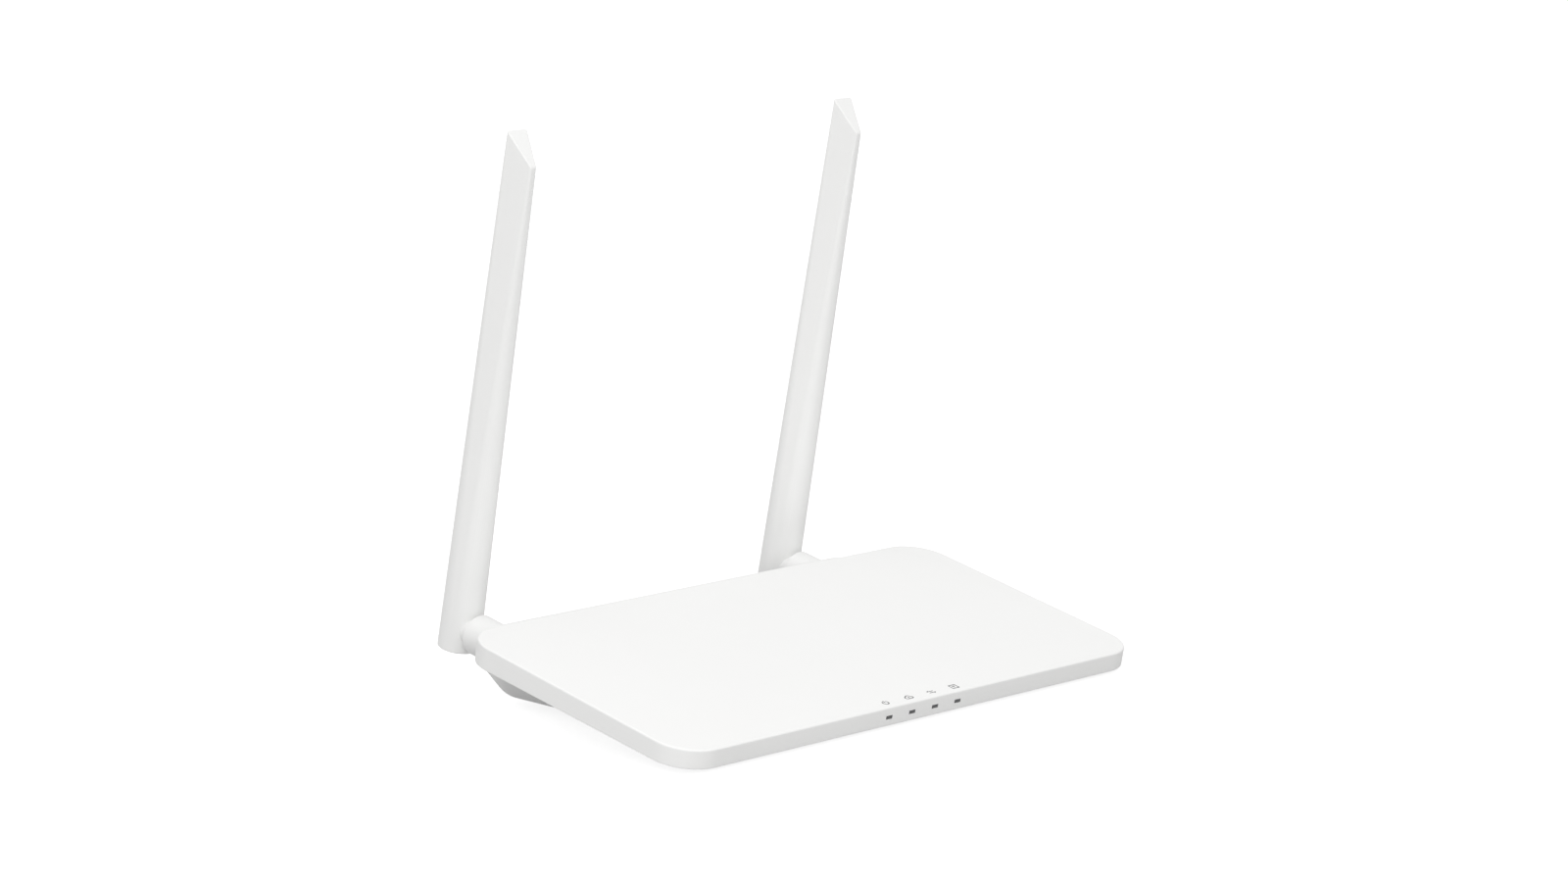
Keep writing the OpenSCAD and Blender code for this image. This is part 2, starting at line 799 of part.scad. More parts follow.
module stub(side) {
    on_swivel(side) difference() {
        union() {
            translate([0, 0, boss_outer + seat_gap])
                cylinder(stub_face - boss_outer - seat_gap, stub_r, stub_r);
            translate([0, 0, neck_end]) cylinder(boss_outer - neck_end + 0.1, neck_r, neck_r);
            translate([0, 0, stub_face - eps])
                cylinder(spigot_end - stub_face + eps, spigot_r, spigot_r);
        }
        translate([0, 0, neck_end - cut]) cylinder(big, cable_bore_r, cable_bore_r);
        translate([0, 0, groove_start]) difference() {
            cylinder(clip_t + 0.1, spigot_r + cut, spigot_r + cut);
            translate([0, 0, -cut]) cylinder(clip_t + 3 * cut, groove_r, groove_r);
        }
    }
}

module left_stub() { color("whitesmoke") stub(-1); }
module right_stub() { color("whitesmoke") stub(1); }

module washer(side) {
    on_swivel(side) translate([0, 0, stub_face]) difference() {
        cylinder(washer_t, collar_r - washer_inset, collar_r - washer_inset);
        translate([0, 0, -cut]) cylinder(washer_t + 2 * cut, spigot_r + washer_gap, spigot_r + washer_gap);
    }
}

module left_washer() { color("gray") washer(-1); }
module right_washer() { color("gray") washer(1); }

// Open ring snapped into the spigot's groove, with its mouth to the front of the antenna
module clip(side) {
    on_swivel(side) translate([0, 0, groove_start + 0.05]) difference() {
        cylinder(clip_t, clip_r, clip_r);
        translate([0, 0, -cut]) cylinder(clip_t + 2 * cut, groove_r + 0.03, groove_r + 0.03);
        translate([-1.6, 0, -cut]) cube([3.2, clip_r + cut, clip_t + 2 * cut]);
    }
}

module left_clip() { color("silver") clip(-1); }
module right_clip() { color("silver") clip(1); }

module antenna_nuts() {
    color("silver") for (side = [-1, 1]) on_swivel(side)
        translate([0, 0, boss_inner - seat_gap - nut_t]) difference() {
            cylinder(nut_t, nut_flats / sqrt(3), nut_flats / sqrt(3), $fn = 6);
            translate([0, 0, -cut]) cylinder(nut_t + 2 * cut, neck_r + seat_gap, neck_r + seat_gap);
        }
}

// ---------- antennas ----------

// Loft from the round foot to the blade's section at the tip, pulled in by inset
module antenna_loft(inset) {
    low_r = antenna_r - inset;
    hull() {
        translate([0, 0, antenna_low]) cylinder(eps, low_r, low_r, $fn = hull_fn);
        translate([0, 0, antenna_high + eps]) linear_extrude(eps) polygon([
            [-blade_front_w / 2 + inset * 0.2, -blade_front_y + inset],
            [blade_front_w / 2 - inset * 0.2, -blade_front_y + inset],
            [blade_back_w / 2 - inset, blade_back_y - inset],
            [-blade_back_w / 2 + inset, blade_back_y - inset]]);
    }
}

// Everything above the slanted tip, lowered by drop
module above_tip(drop) {
    slope = atan(tip_drop / (blade_front_y + blade_back_y));
    translate([0, blade_back_y, antenna_high - drop]) rotate([slope, 0, 0])
        translate([-big / 2, -big / 2, 0]) cube([big, big, big]);
}

module along_swivel(low, high, r) {
    translate([0, low, swivel_z]) rotate([-90, 0, 0]) cylinder(high - low, r, r);
}

module antenna_shell(side) {
    on_antenna(side) difference() {
        union() {
            difference() {
                antenna_loft(0);
                above_tip(0);
            }
            along_swivel(-collar_reach, 0, collar_r);
        }
        difference() {
            intersection() {
                antenna_loft(shell_wall);
                translate([-big / 2, -big / 2, antenna_low - cut])
                    cube([big, big, antenna_high - antenna_low + cut]);
            }
            above_tip(2.5);
            along_swivel(-collar_reach, -3, collar_r);
            difference() {
                translate([-big / 2, -big / 2, rib_low]) cube([big, big, rib_t]);
                translate([-strip_t / 2 - 0.1, -strip_d / 2 - 0.1, rib_low - cut])
                    cube([strip_t + 0.2, strip_d + 0.2, rib_t + 2 * cut]);
            }
        }
        translate([0, 0, antenna_low - cut])
            cylinder(cap_t + cut, antenna_r - shell_wall, antenna_r - shell_wall);
        along_swivel(-collar_reach - cut, 0, spigot_r + spigot_clear);
    }
}

module left_antenna_shell() { color("white") antenna_shell(-1); }
module right_antenna_shell() { color("white") antenna_shell(1); }

module antenna_cap(side) {
    r = antenna_r - shell_wall - cap_gap;
    on_antenna(side) translate([0, 0, antenna_low]) cylinder(cap_t, r, r);
}

module left_antenna_cap() { color("whitesmoke") antenna_cap(-1); }
module right_antenna_cap() { color("whitesmoke") antenna_cap(1); }

module radiator(side) {
    on_antenna(side) translate([-strip_t / 2, -strip_d / 2, strip_low])
        cube([strip_t, strip_d, strip_top - strip_low]);
}

module left_radiator() { color("seagreen") radiator(-1); }
module right_radiator() { color("seagreen") radiator(1); }

// Cable inside the antenna: out of the spigot, up a quarter turn, to the radiator's foot
module antenna_coax(side) {
    start = coax_joint - antenna_y;
    on_antenna(side) {
        along_swivel(start, start + coax_run, coax_r);
        translate([0, start + coax_run, swivel_z + coax_bend_r]) rotate([90, 90, 90])
            rotate_extrude(angle = 90) translate([coax_bend_r, 0]) circle(coax_r);
        translate([0, start + coax_run + coax_bend_r, swivel_z + coax_bend_r])
            cylinder(strip_low - swivel_z - coax_bend_r, coax_r, coax_r);
    }
}

module left_antenna_coax() { color("#202020") antenna_coax(-1); }
module right_antenna_coax() { color("#202020") antenna_coax(1); }

// Cable inside the case, from its board socket through the stub to the antenna's cable
function plate_to_desk(p) = [p[0],
    p[1] * cos(plate_tilt) - p[2] * sin(plate_tilt),
    plate_z + p[1] * sin(plate_tilt) + p[2] * cos(plate_tilt)];

function pigtail_route(side) = concat(
    smooth_route(concat(
        [for (p = pigtail_points) [side * p[0], p[1], p[2]]],
        [for (y = [neck_end - 2.5, neck_end + 1]) plate_to_desk([side * antenna_x, y, swivel_z])]),
        3),
    [for (y = [neck_end + 8, neck_end + 18, coax_joint])
        plate_to_desk([side * antenna_x, y, swivel_z])]);

module left_pigtail() { color("#202020") on_desk() tube(pigtail_route(-1), coax_r, 8); }
module right_pigtail() { color("#202020") on_desk() tube(pigtail_route(1), coax_r, 8); }

top_cover();
bottom_cover();
main_board();
processor_chip();
radio_chip();
radio_shield();
memory_chip();
clock_crystal();
line_transformers();
left_network_jack();
right_network_jack();
jack_contacts();
power_jack();
power_pin();
capacitors();
power_inductor();
status_leds();
light_guides();
button_switch();
pairing_button();
case_screws();
board_screws();
rubber_feet();
antenna_nuts();
coax_sockets();
left_pigtail();
right_pigtail();
left_stub();
right_stub();
left_washer();
right_washer();
left_clip();
right_clip();
left_antenna_shell();
right_antenna_shell();
left_antenna_cap();
right_antenna_cap();
left_radiator();
right_radiator();
left_antenna_coax();
right_antenna_coax();
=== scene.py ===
import json
import math

import bmesh
import bpy
from mathutils import Matrix, Vector


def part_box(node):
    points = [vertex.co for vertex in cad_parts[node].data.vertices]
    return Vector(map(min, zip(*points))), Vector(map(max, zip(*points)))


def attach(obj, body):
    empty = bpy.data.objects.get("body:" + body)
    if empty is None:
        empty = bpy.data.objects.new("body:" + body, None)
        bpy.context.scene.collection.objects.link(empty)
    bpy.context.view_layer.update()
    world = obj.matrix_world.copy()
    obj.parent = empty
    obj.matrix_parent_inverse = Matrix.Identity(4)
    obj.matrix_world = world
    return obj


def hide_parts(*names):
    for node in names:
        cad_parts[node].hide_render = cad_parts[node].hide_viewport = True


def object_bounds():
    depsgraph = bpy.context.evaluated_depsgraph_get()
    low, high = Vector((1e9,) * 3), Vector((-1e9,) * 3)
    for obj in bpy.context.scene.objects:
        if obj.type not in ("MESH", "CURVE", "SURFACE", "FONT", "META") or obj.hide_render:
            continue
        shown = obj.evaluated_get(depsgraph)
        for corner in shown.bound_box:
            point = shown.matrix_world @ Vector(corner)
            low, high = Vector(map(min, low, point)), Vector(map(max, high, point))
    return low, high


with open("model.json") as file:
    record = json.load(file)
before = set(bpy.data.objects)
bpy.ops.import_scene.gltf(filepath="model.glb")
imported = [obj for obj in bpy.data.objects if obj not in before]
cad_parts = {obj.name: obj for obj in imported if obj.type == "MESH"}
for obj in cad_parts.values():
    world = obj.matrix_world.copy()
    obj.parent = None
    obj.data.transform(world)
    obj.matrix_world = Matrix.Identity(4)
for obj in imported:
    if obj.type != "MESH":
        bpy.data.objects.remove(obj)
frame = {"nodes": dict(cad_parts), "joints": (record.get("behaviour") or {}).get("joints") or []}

cad_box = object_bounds()

# ---------- tub ----------
# The tub is the case's lower half: one injection-moulded shell of white ABS with a rounded
# lower rim, a flat panel that closes the plate from below, and a raised block for the ports.
# It is spark-eroded matt outside, and four long screws pull it against the plate.

MM = 0.001
WALL = 1.8 * MM
FOOT_H = 2.0 * MM
PLATE_HALF_W = 100 * MM
PLATE_HALF_D = 50.5 * MM
PLATE_R = 13 * MM
SIDE_H_FRONT = 6.1 * MM
SIDE_H_REAR = 7.4 * MM
LAY_GAP = 0.15 * MM
SEAT_GAP = 0.05 * MM
SWIVEL_X = 70 * MM
SWIVEL_Y = 75.2 * MM
SWIVEL_Z = -14.45 * MM

swivel = next(j for j in frame["joints"] if j["name"] == "right_antenna_swivel")
tilt = math.atan2(swivel["axis"][2], swivel["axis"][1])
plate_place = (Matrix.Translation(swivel["pos_m"]) @ Matrix.Rotation(tilt, 4, "X")
               @ Matrix.Translation((-SWIVEL_X, -SWIVEL_Y, -SWIVEL_Z)))
plate_centre = plate_place @ Vector()
desk_place = Matrix.Translation((0, plate_centre.y, 0))
underside_slope = (SIDE_H_REAR - SIDE_H_FRONT) / (2 * PLATE_HALF_D)


def underside(y, lift=0.0):
    """Height of the plate's lower face in the plate's own frame."""
    return lift - SIDE_H_FRONT - underside_slope * (y + PLATE_HALF_D)


def linear(colour):
    """Turns an sRGB hex colour into linear RGBA."""
    parts = [int(colour[i:i + 2], 16) / 255 for i in (1, 3, 5)]
    return [c / 12.92 if c <= 0.04045 else ((c + 0.055) / 1.055) ** 2.4 for c in parts] + [1]


def add_node(tree, kind, inputs=None, **settings):
    """Adds one node, with its settings, and its inputs as values or as links."""
    node = tree.nodes.new(kind)
    for name, value in settings.items():
        setattr(node, name, value)
    for name, value in (inputs or {}).items():
        if isinstance(value, bpy.types.NodeSocket):
            tree.links.new(value, node.inputs[name])
        else:
            node.inputs[name].default_value = value
    return node


def moulded(name, colour, roughness, grain, depth, mottle=0.012, ior=1.53):
    """Moulded plastic: a slight mottle in the colour and the tool's spark-eroded grain."""
    material = bpy.data.materials.new(name)
    material.use_nodes = True
    tree = material.node_tree
    tree.nodes.clear()
    place = add_node(tree, "ShaderNodeTexCoord").outputs["Object"]
    flow = add_node(tree, "ShaderNodeTexNoise",
                    {"Vector": place, "Scale": 1 / (18 * MM), "Detail": 3.0})
    grains = add_node(tree, "ShaderNodeTexNoise",
                      {"Vector": place, "Scale": 1 / grain, "Detail": 2.0, "Roughness": 0.6})
    base = linear(colour)
    tone = add_node(tree, "ShaderNodeMix",
                    {"Factor": flow.outputs["Fac"], "A": [c * (1 - mottle) for c in base[:3]] + [1],
                     "B": base}, data_type="RGBA")
    gloss = add_node(tree, "ShaderNodeMapRange",
                     {"Value": grains.outputs["Fac"], "To Min": roughness - 0.05,
                      "To Max": roughness + 0.06})
    relief = add_node(tree, "ShaderNodeBump",
                      {"Height": grains.outputs["Fac"], "Distance": depth, "Strength": 0.6})
    shader = add_node(tree, "ShaderNodeBsdfPrincipled",
                      {"Base Color": tone.outputs["Result"],
                       "Roughness": gloss.outputs["Result"], "IOR": ior,
                       "Normal": relief.outputs["Normal"]})
    add_node(tree, "ShaderNodeOutputMaterial", {"Surface": shader.outputs["BSDF"]})
    return material


def dress(piece, material, body, slot, *nodes):
    """Gives a finished piece its material and body, and hides the nodes it stands for; slot is not
    used.
    """
    piece.data.materials.clear()
    piece.data.materials.append(material)
    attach(piece, body)
    if nodes:
        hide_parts(*nodes)
    return piece


def repaint(material, *nodes):
    """Gives nodes that keep their CAD mesh a finished material."""
    for node in nodes:
        mesh = frame["nodes"][node].data
        for i in range(max(len(mesh.materials), 1)):
            if mesh.materials:
                mesh.materials[i] = material
            else:
                mesh.materials.append(material)


def as_object(name, bm, place=None):
    """Makes an object at the origin of a bmesh, with its faces outward."""
    if place is not None:
        bm.transform(place)
    bmesh.ops.remove_doubles(bm, verts=bm.verts, dist=1e-6)
    bmesh.ops.recalc_face_normals(bm, faces=bm.faces)
    mesh = bpy.data.meshes.new(name)
    bm.to_mesh(mesh)
    bm.free()
    piece = bpy.data.objects.new(name, mesh)
    bpy.context.scene.collection.objects.link(piece)
    return piece


def loft(name, rings, place=None, closed=False):
    """Skins rings of equal length; closed joins the last ring to the first."""
    bm = bmesh.new()
    rows = [[bm.verts.new(point) for point in ring] for ring in rings]
    pairs = list(zip(rows, rows[1:]))
    if closed:
        pairs.append((rows[-1], rows[0]))
    for low, high in pairs:
        for i in range(len(low)):
            k = (i + 1) % len(low)
            bm.faces.new((low[i], low[k], high[k], high[i]))
    if not closed:
        bm.faces.new(rows[0])
        bm.faces.new(rows[-1])
    return as_object(name, bm, place)


def outline(half, low, high, rear_r, front_r, steps=14):
    """Round rectangle, -half to half and low to high, counter-clockwise."""
    corners = [(half, low, front_r, -90), (half, high, rear_r, 0),
               (-half, high, rear_r, 90), (-half, low, front_r, 180)]
    points = []
    for x, y, r, start in corners:
        r = max(r, 0.01 * MM)
        cx = x - math.copysign(r, x)
        cy = y + r if y == low else y - r
        for i in range(steps + 1):
            a = math.radians(start + 90 * i / steps)
            points.append((cx + r * math.cos(a), cy + r * math.sin(a)))
    return points


def hull_of(name, points):
    bm = bmesh.new()
    for point in points:
        bm.verts.new(point)
    made = bmesh.ops.convex_hull(bm, input=bm.verts)
    spare = set(made["geom_interior"]) | set(made["geom_unused"])
    bmesh.ops.delete(bm, geom=[v for v in spare if isinstance(v, bmesh.types.BMVert)],
                     context="VERTS")
    return as_object(name, bm)


def trim(piece, point, normal):
    """Cuts a convex solid with a plane and keeps the side that the normal points away from."""
    bm = bmesh.new()
    bm.from_mesh(piece.data)
    parts = list(bm.verts) + list(bm.edges) + list(bm.faces)
    cut = bmesh.ops.bisect_plane(bm, geom=parts, plane_co=point, plane_no=normal,
                                 clear_outer=True, dist=1e-7)
    edges = [e for e in cut["geom_cut"] if isinstance(e, bmesh.types.BMEdge)]
    if edges:
        bmesh.ops.contextual_create(bm, geom=edges)
    bmesh.ops.recalc_face_normals(bm, faces=bm.faces)
    bm.to_mesh(piece.data)
    bm.free()
    return piece


def settle(piece):
    """Turns an object's modifiers into its mesh."""
    graph = bpy.context.evaluated_depsgraph_get()
    mesh = bpy.data.meshes.new_from_object(piece.evaluated_get(graph))
    old = piece.data
    piece.modifiers.clear()
    piece.data = mesh
    bpy.data.meshes.remove(old)
    return piece


def carve(piece, tools, operation="DIFFERENCE"):
    """Joins, cuts or intersects a piece with each tool, and removes the tools."""
    for tool in tools:
        step = piece.modifiers.new("carve", "BOOLEAN")
        step.operation = operation
        step.solver = "EXACT"
        step.object = tool
        settle(piece)
        bpy.data.objects.remove(tool)
    return piece


def soften(piece, width, angle=35, segments=2):
    """Rounds the moulded edges slightly, as a mould does, and smooths what is curved."""
    bm = bmesh.new()
    bm.from_mesh(piece.data)
    bmesh.ops.remove_doubles(bm, verts=bm.verts, dist=2e-6)
    bmesh.ops.dissolve_limit(bm, angle_limit=math.radians(0.5), verts=bm.verts,
                             edges=bm.edges)
    bm.to_mesh(piece.data)
    bm.free()
    if width:
        edge = piece.modifiers.new("edge", "BEVEL")
        edge.width = width
        edge.segments = segments
        edge.limit_method = "ANGLE"
        edge.angle_limit = math.radians(angle)
        edge.use_clamp_overlap = True
        edge.harden_normals = False
    settle(piece)
    piece.data.shade_smooth()
    piece.data.set_sharp_from_angle(angle=math.radians(angle))
    even = piece.modifiers.new("even", "WEIGHTED_NORMAL")
    even.keep_sharp = True
    return settle(piece)


def slab(name, low, high, place=None):
    """Box between two corners."""
    bm = bmesh.new()
    bmesh.ops.create_cube(bm, size=1)
    size = Vector(high) - Vector(low)
    bm.transform(Matrix.Translation((Vector(low) + Vector(high)) / 2)
                 @ Matrix.Diagonal((*size, 1)))
    return as_object(name, bm, place)


def turn(name, profile, place=None, steps=48):
    """Turns a closed profile of (radius, height) points round the local Z axis."""
    rings = []
    for i in range(steps):
        a = 2 * math.pi * i / steps
        rings.append([(r * math.cos(a), r * math.sin(a), z) for r, z in profile])
    return loft(name, rings, place, closed=True)


def disc(name, r, low, high, place=None, steps=48):
    """Plain round bar, used as a cutter or a boss."""
    rings = [[(r * math.cos(2 * math.pi * i / steps), r * math.sin(2 * math.pi * i / steps), z)
              for i in range(steps)] for z in (low, high)]
    return loft(name, rings, place)


TUB_HALF_LOW = 81.5 * MM
TUB_HALF_HIGH = 95 * MM
TUB_HIGH = 16.8 * MM
TUB_REAR = 62 * MM
TUB_FRONT = -42 * MM
TUB_R_LOW = 9 * MM
TUB_R_HIGH = 24 * MM
TUB_RIM = 10 * MM
TUB_SWELL = 0.5 * MM
WELL_FRONT = -36 * MM
BLOCK_HALF = 81 * MM
BLOCK_R = 9 * MM
BLOCK_LOW = 11.5 * MM
BOSS_R = 8 * MM
BOSS_INNER = 55.4 * MM
BOSS_PROUD = 1.6 * MM
BOSS_OUTER = TUB_REAR * math.cos(tilt) + BOSS_PROUD
NECK_R = 5 * MM
REACH = 60 * MM

plate_up = plate_place.to_3x3() @ Vector((0, underside_slope, 1)).normalized()
plate_back = plate_place.to_3x3() @ Vector((0, 1, 0))


def below_plate(piece, lift=-SEAT_GAP):
    """Trims what stands above the plate's lower face."""
    return trim(piece, plate_place @ Vector((0, 0, underside(0, lift))), plate_up)


def tub_solid(inset):
    """Convex lower body: rounded rim at the desk, widening to the plate."""
    points = []
    rim = TUB_RIM - inset
    for i in range(13):
        a = math.radians(7.5 * i)
        pull = inset + rim * (1 - math.cos(a))
        height = FOOT_H + inset + rim * (1 - math.sin(a))
        ring = outline(TUB_HALF_LOW - pull, TUB_FRONT + inset, TUB_REAR - pull,
                       max(TUB_R_LOW - pull, MM), 0)
        points += [(x, y, height) for x, y in ring]
    for i in range(1, 7):
        share = i / 6
        swell = TUB_SWELL * math.sin(math.pi * share)
        ring = outline(TUB_HALF_LOW + (TUB_HALF_HIGH - TUB_HALF_LOW) * share - inset + swell,
                       TUB_FRONT + inset, TUB_REAR - inset,
                       TUB_R_LOW + (TUB_R_HIGH - TUB_R_LOW) * share - inset, 0, 28)
        height = FOOT_H + TUB_RIM + (TUB_HIGH - FOOT_H - TUB_RIM) * share
        points += [(x, y, height) for x, y in ring]
    body = hull_of("tub_solid", points)
    body.data.transform(desk_place)
    return below_plate(body)


def collar_solid(inset, back):
    """Straight upper part of the tub, only as far back as the plate's rear edge."""
    ring = outline(TUB_HALF_HIGH - inset, TUB_FRONT + inset, TUB_REAR - inset,
                   TUB_R_HIGH - inset, 0, 28)
    low = TUB_HIGH - 0.01 * MM
    body = loft("collar", [[(x, y, z) for x, y in ring] for z in (low, REACH)], desk_place)
    below_plate(body)
    return trim(body, plate_place @ Vector((0, PLATE_HALF_D - back, 0)), plate_back)


def block_solid(inset):
    """Raised block behind the plate that holds the ports."""
    ring = outline(BLOCK_HALF - inset, 0, TUB_REAR - inset, BLOCK_R - inset, 0)
    body = loft("block", [[(x, y, z) for x, y in ring] for z in (BLOCK_LOW, REACH)], desk_place)
    return below_plate(body)


def along_swivel(side):
    """Place on one swivel's axis: local +Z runs to the rear."""
    return (plate_place @ Matrix.Translation((side * SWIVEL_X, 0, SWIVEL_Z))
            @ Matrix.Rotation(math.radians(-90), 4, "X"))


def panel_solid():
    """Flat panel that lies inside the plate's skirt."""
    inset = WALL + LAY_GAP
    ring = outline(PLATE_HALF_W - inset, -PLATE_HALF_D + inset, PLATE_HALF_D - inset,
                   PLATE_R - inset, PLATE_R - inset)
    rows = [[(x, y, underside(y, lift)) for x, y in ring] for lift in (-2 * SEAT_GAP, WALL)]
    return loft("panel", rows, plate_place)


bosses = [below_plate(disc("boss", BOSS_R, BOSS_INNER, BOSS_OUTER, along_swivel(side)),
                      -3 * SEAT_GAP)
          for side in (-1, 1)]
hollow = carve(tub_solid(WALL), [collar_solid(WALL, 2 * WALL + LAY_GAP), block_solid(WALL)],
               "UNION")
front_of_well = slab("front", (-REACH * 2, -REACH * 2, -REACH),
                     (REACH * 2, WELL_FRONT, REACH), desk_place)
carve(hollow, [front_of_well])
tub = carve(tub_solid(0), [collar_solid(0, 0), block_solid(0), panel_solid()], "UNION")
carve(tub, [hollow])
carve(tub, bosses, "UNION")

# Openings for the jacks, the button and the stubs' necks
PORT_GAP = 0.2 * MM
for node in ("left_network_jack", "right_network_jack", "power_jack"):
    low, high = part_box(node)
    gap = Vector((PORT_GAP, 0, PORT_GAP))
    carve(tub, [slab("window", low - gap, high + gap + Vector((0, 10 * MM, 0)))])
BUTTON_R = 2.5 * MM
button_low, button_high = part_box("pairing_button")
button_mid = (button_low + button_high) / 2
button_place = (Matrix.Translation((button_mid.x, button_high.y, button_mid.z))
                @ Matrix.Rotation(math.radians(-90), 4, "X"))
BUTTON_CLEAR = 0.08 * MM
BUTTON_HOLE_D = 2.9 * MM
carve(tub, [disc("hole", BUTTON_R + BUTTON_CLEAR, -BUTTON_HOLE_D, MM, button_place)])
carve(tub, [disc("bore", NECK_R + SEAT_GAP, BOSS_INNER - MM, BOSS_OUTER + MM,
                 along_swivel(side)) for side in (-1, 1)])

# Recesses for the glued feet and the pockets over the four case screws
FOOT_R = 6 * MM
FOOT_RECESS = 0.6 * MM
FOOT_CLEAR = 0.1 * MM


def solids_of(node):
    """Centre and box of each separate solid in a node that holds several."""
    bm = bmesh.new()
    bm.from_mesh(frame["nodes"][node].data)
    bmesh.ops.remove_doubles(bm, verts=bm.verts, dist=1e-6)
    found, left = [], set(bm.verts)
    while left:
        grow, island = [left.pop()], []
        while grow:
            vert = grow.pop()
            island.append(vert.co.copy())
            for edge in vert.link_edges:
                other = edge.other_vert(vert)
                if other in left:
                    left.discard(other)
                    grow.append(other)
        low = Vector([min(p[i] for p in island) for i in range(3)])
        high = Vector([max(p[i] for p in island) for i in range(3)])
        found.append((low, high))
    bm.free()
    return sorted(found, key=lambda ends: (round(ends[0].y, 3), ends[0].x))


foot_boxes = solids_of("rubber_feet")
for low, high in foot_boxes:
    seat = Matrix.Translation(((low.x + high.x) / 2, (low.y + high.y) / 2, 0))
    carve(tub, [disc("recess", FOOT_R + FOOT_CLEAR, FOOT_H - MM, FOOT_H + FOOT_RECESS, seat)])
HEAD_R = 2.6 * MM
THREAD_R = 1.4 * MM
HEAD_CLEAR = 0.3 * MM
THREAD_CLEAR = 0.2 * MM
WAY_LENGTH = 5 * MM
FRONT_SCREW = Vector((88, -36, -4.95)) * MM
REAR_SCREW = Vector((66, 30, -15.1)) * MM
COLUMN_R = 4.2 * MM
COLUMN_LOW = -9.5 * MM
COLUMN_HIGH = 2 * MM
for side in (-1, 1):
    axis = plate_place @ Matrix.Translation((side * REAR_SCREW.x, REAR_SCREW.y, REAR_SCREW.z))
    column = disc("column", COLUMN_R, COLUMN_LOW, COLUMN_HIGH, axis)
    carve(column, [slab("under_floor", (-REACH * 2, -REACH, -REACH),
                        (REACH * 2, REACH * 2, FOOT_H + WALL / 2))])
    carve(tub, [column], "UNION")
for spot in (FRONT_SCREW, REAR_SCREW):
    for side in (-1, 1):
        axis = plate_place @ Matrix.Translation((side * spot.x, spot.y, spot.z))
        carve(tub, [disc("pocket", HEAD_R + HEAD_CLEAR, -REACH, 0, axis),
                    disc("way", THREAD_R + THREAD_CLEAR, -MM, WAY_LENGTH, axis)])

# Posts inside that the board is screwed to
POST_R = 2.8 * MM
POST_TOP = 5.2 * MM
POST_HOLE_R = 1.0 * MM
POST_HOLE_D = 2.2 * MM
for x, y in ((-54, -29), (54, -29), (-54, 20), (54, 20)):
    stand = desk_place @ Matrix.Translation((x * MM, y * MM, 0))
    carve(tub, [disc("post", POST_R, FOOT_H + WALL / 2, POST_TOP, stand)], "UNION")
    carve(tub, [disc("hole", POST_HOLE_R, POST_TOP - POST_HOLE_D, POST_TOP + MM, stand)])

# Two rows of vent slots in the floor
VENT_COUNT = 9
VENT_PITCH = 4.5 * MM
VENT_W = 1.6 * MM
VENT_L = 16 * MM
VENT_D = 8 * MM
VENT_ROWS_Y = (-14 * MM, 16 * MM)


def vent_tree():
    """Rows of round-ended slots, as a tool that is cut from the floor."""
    tree = bpy.data.node_groups.new("vent_slots", "GeometryNodeTree")
    face = tree.interface
    face.new_socket("Geometry", in_out="INPUT", socket_type="NodeSocketGeometry")
    for name, value in (("Count", VENT_COUNT), ("Pitch", VENT_PITCH), ("Width", VENT_W),
                        ("Length", VENT_L), ("Depth", VENT_D)):
        kind = "NodeSocketInt" if name == "Count" else "NodeSocketFloat"
        face.new_socket(name, in_out="INPUT", socket_type=kind).default_value = value
    face.new_socket("Material", in_out="INPUT", socket_type="NodeSocketMaterial")
    face.new_socket("Geometry", in_out="OUTPUT", socket_type="NodeSocketGeometry")
    sizes = add_node(tree, "NodeGroupInput").outputs
    shape = add_node(tree, "GeometryNodeCurvePrimitiveQuadrilateral",
                     {"Width": sizes["Width"], "Height": sizes["Length"]})
    half = add_node(tree, "ShaderNodeMath", {0: sizes["Width"], 1: 0.49},
                    operation="MULTIPLY")
    rounded = add_node(tree, "GeometryNodeFilletCurve",
                       {"Curve": shape.outputs["Curve"], "Radius": half.outputs[0],
                        "Count": 6}, mode="POLY")
    cap = add_node(tree, "GeometryNodeFillCurve", {"Curve": rounded.outputs["Curve"]},
                   mode="NGONS")
    block = add_node(tree, "GeometryNodeExtrudeMesh",
                     {"Mesh": cap.outputs["Mesh"], "Offset Scale": sizes["Depth"]})
    lid = add_node(tree, "GeometryNodeFlipFaces", {"Mesh": cap.outputs["Mesh"]})
    whole = add_node(tree, "GeometryNodeJoinGeometry")
    tree.links.new(block.outputs["Mesh"], whole.inputs[0])
    tree.links.new(lid.outputs["Mesh"], whole.inputs[0])
    solid = add_node(tree, "GeometryNodeMergeByDistance",
                     {"Geometry": whole.outputs[0], "Distance": 1e-6})
    spot = add_node(tree, "ShaderNodeCombineXYZ", {"X": sizes["Pitch"]})
    row = add_node(tree, "GeometryNodeMeshLine",
                   {"Count": sizes["Count"], "Offset": spot.outputs[0]})
    rows = add_node(tree, "GeometryNodeInstanceOnPoints",
                    {"Points": sizes["Geometry"], "Instance": row.outputs["Mesh"]})
    points = add_node(tree, "GeometryNodeRealizeInstances", {"Geometry": rows.outputs[0]})
    slots = add_node(tree, "GeometryNodeInstanceOnPoints",
                     {"Points": points.outputs[0], "Instance": solid.outputs[0]})
    real = add_node(tree, "GeometryNodeRealizeInstances", {"Geometry": slots.outputs[0]})
    paint = add_node(tree, "GeometryNodeSetMaterial",
                     {"Geometry": real.outputs[0], "Material": sizes["Material"]})
    add_node(tree, "NodeGroupOutput", {"Geometry": paint.outputs[0]})
    return tree


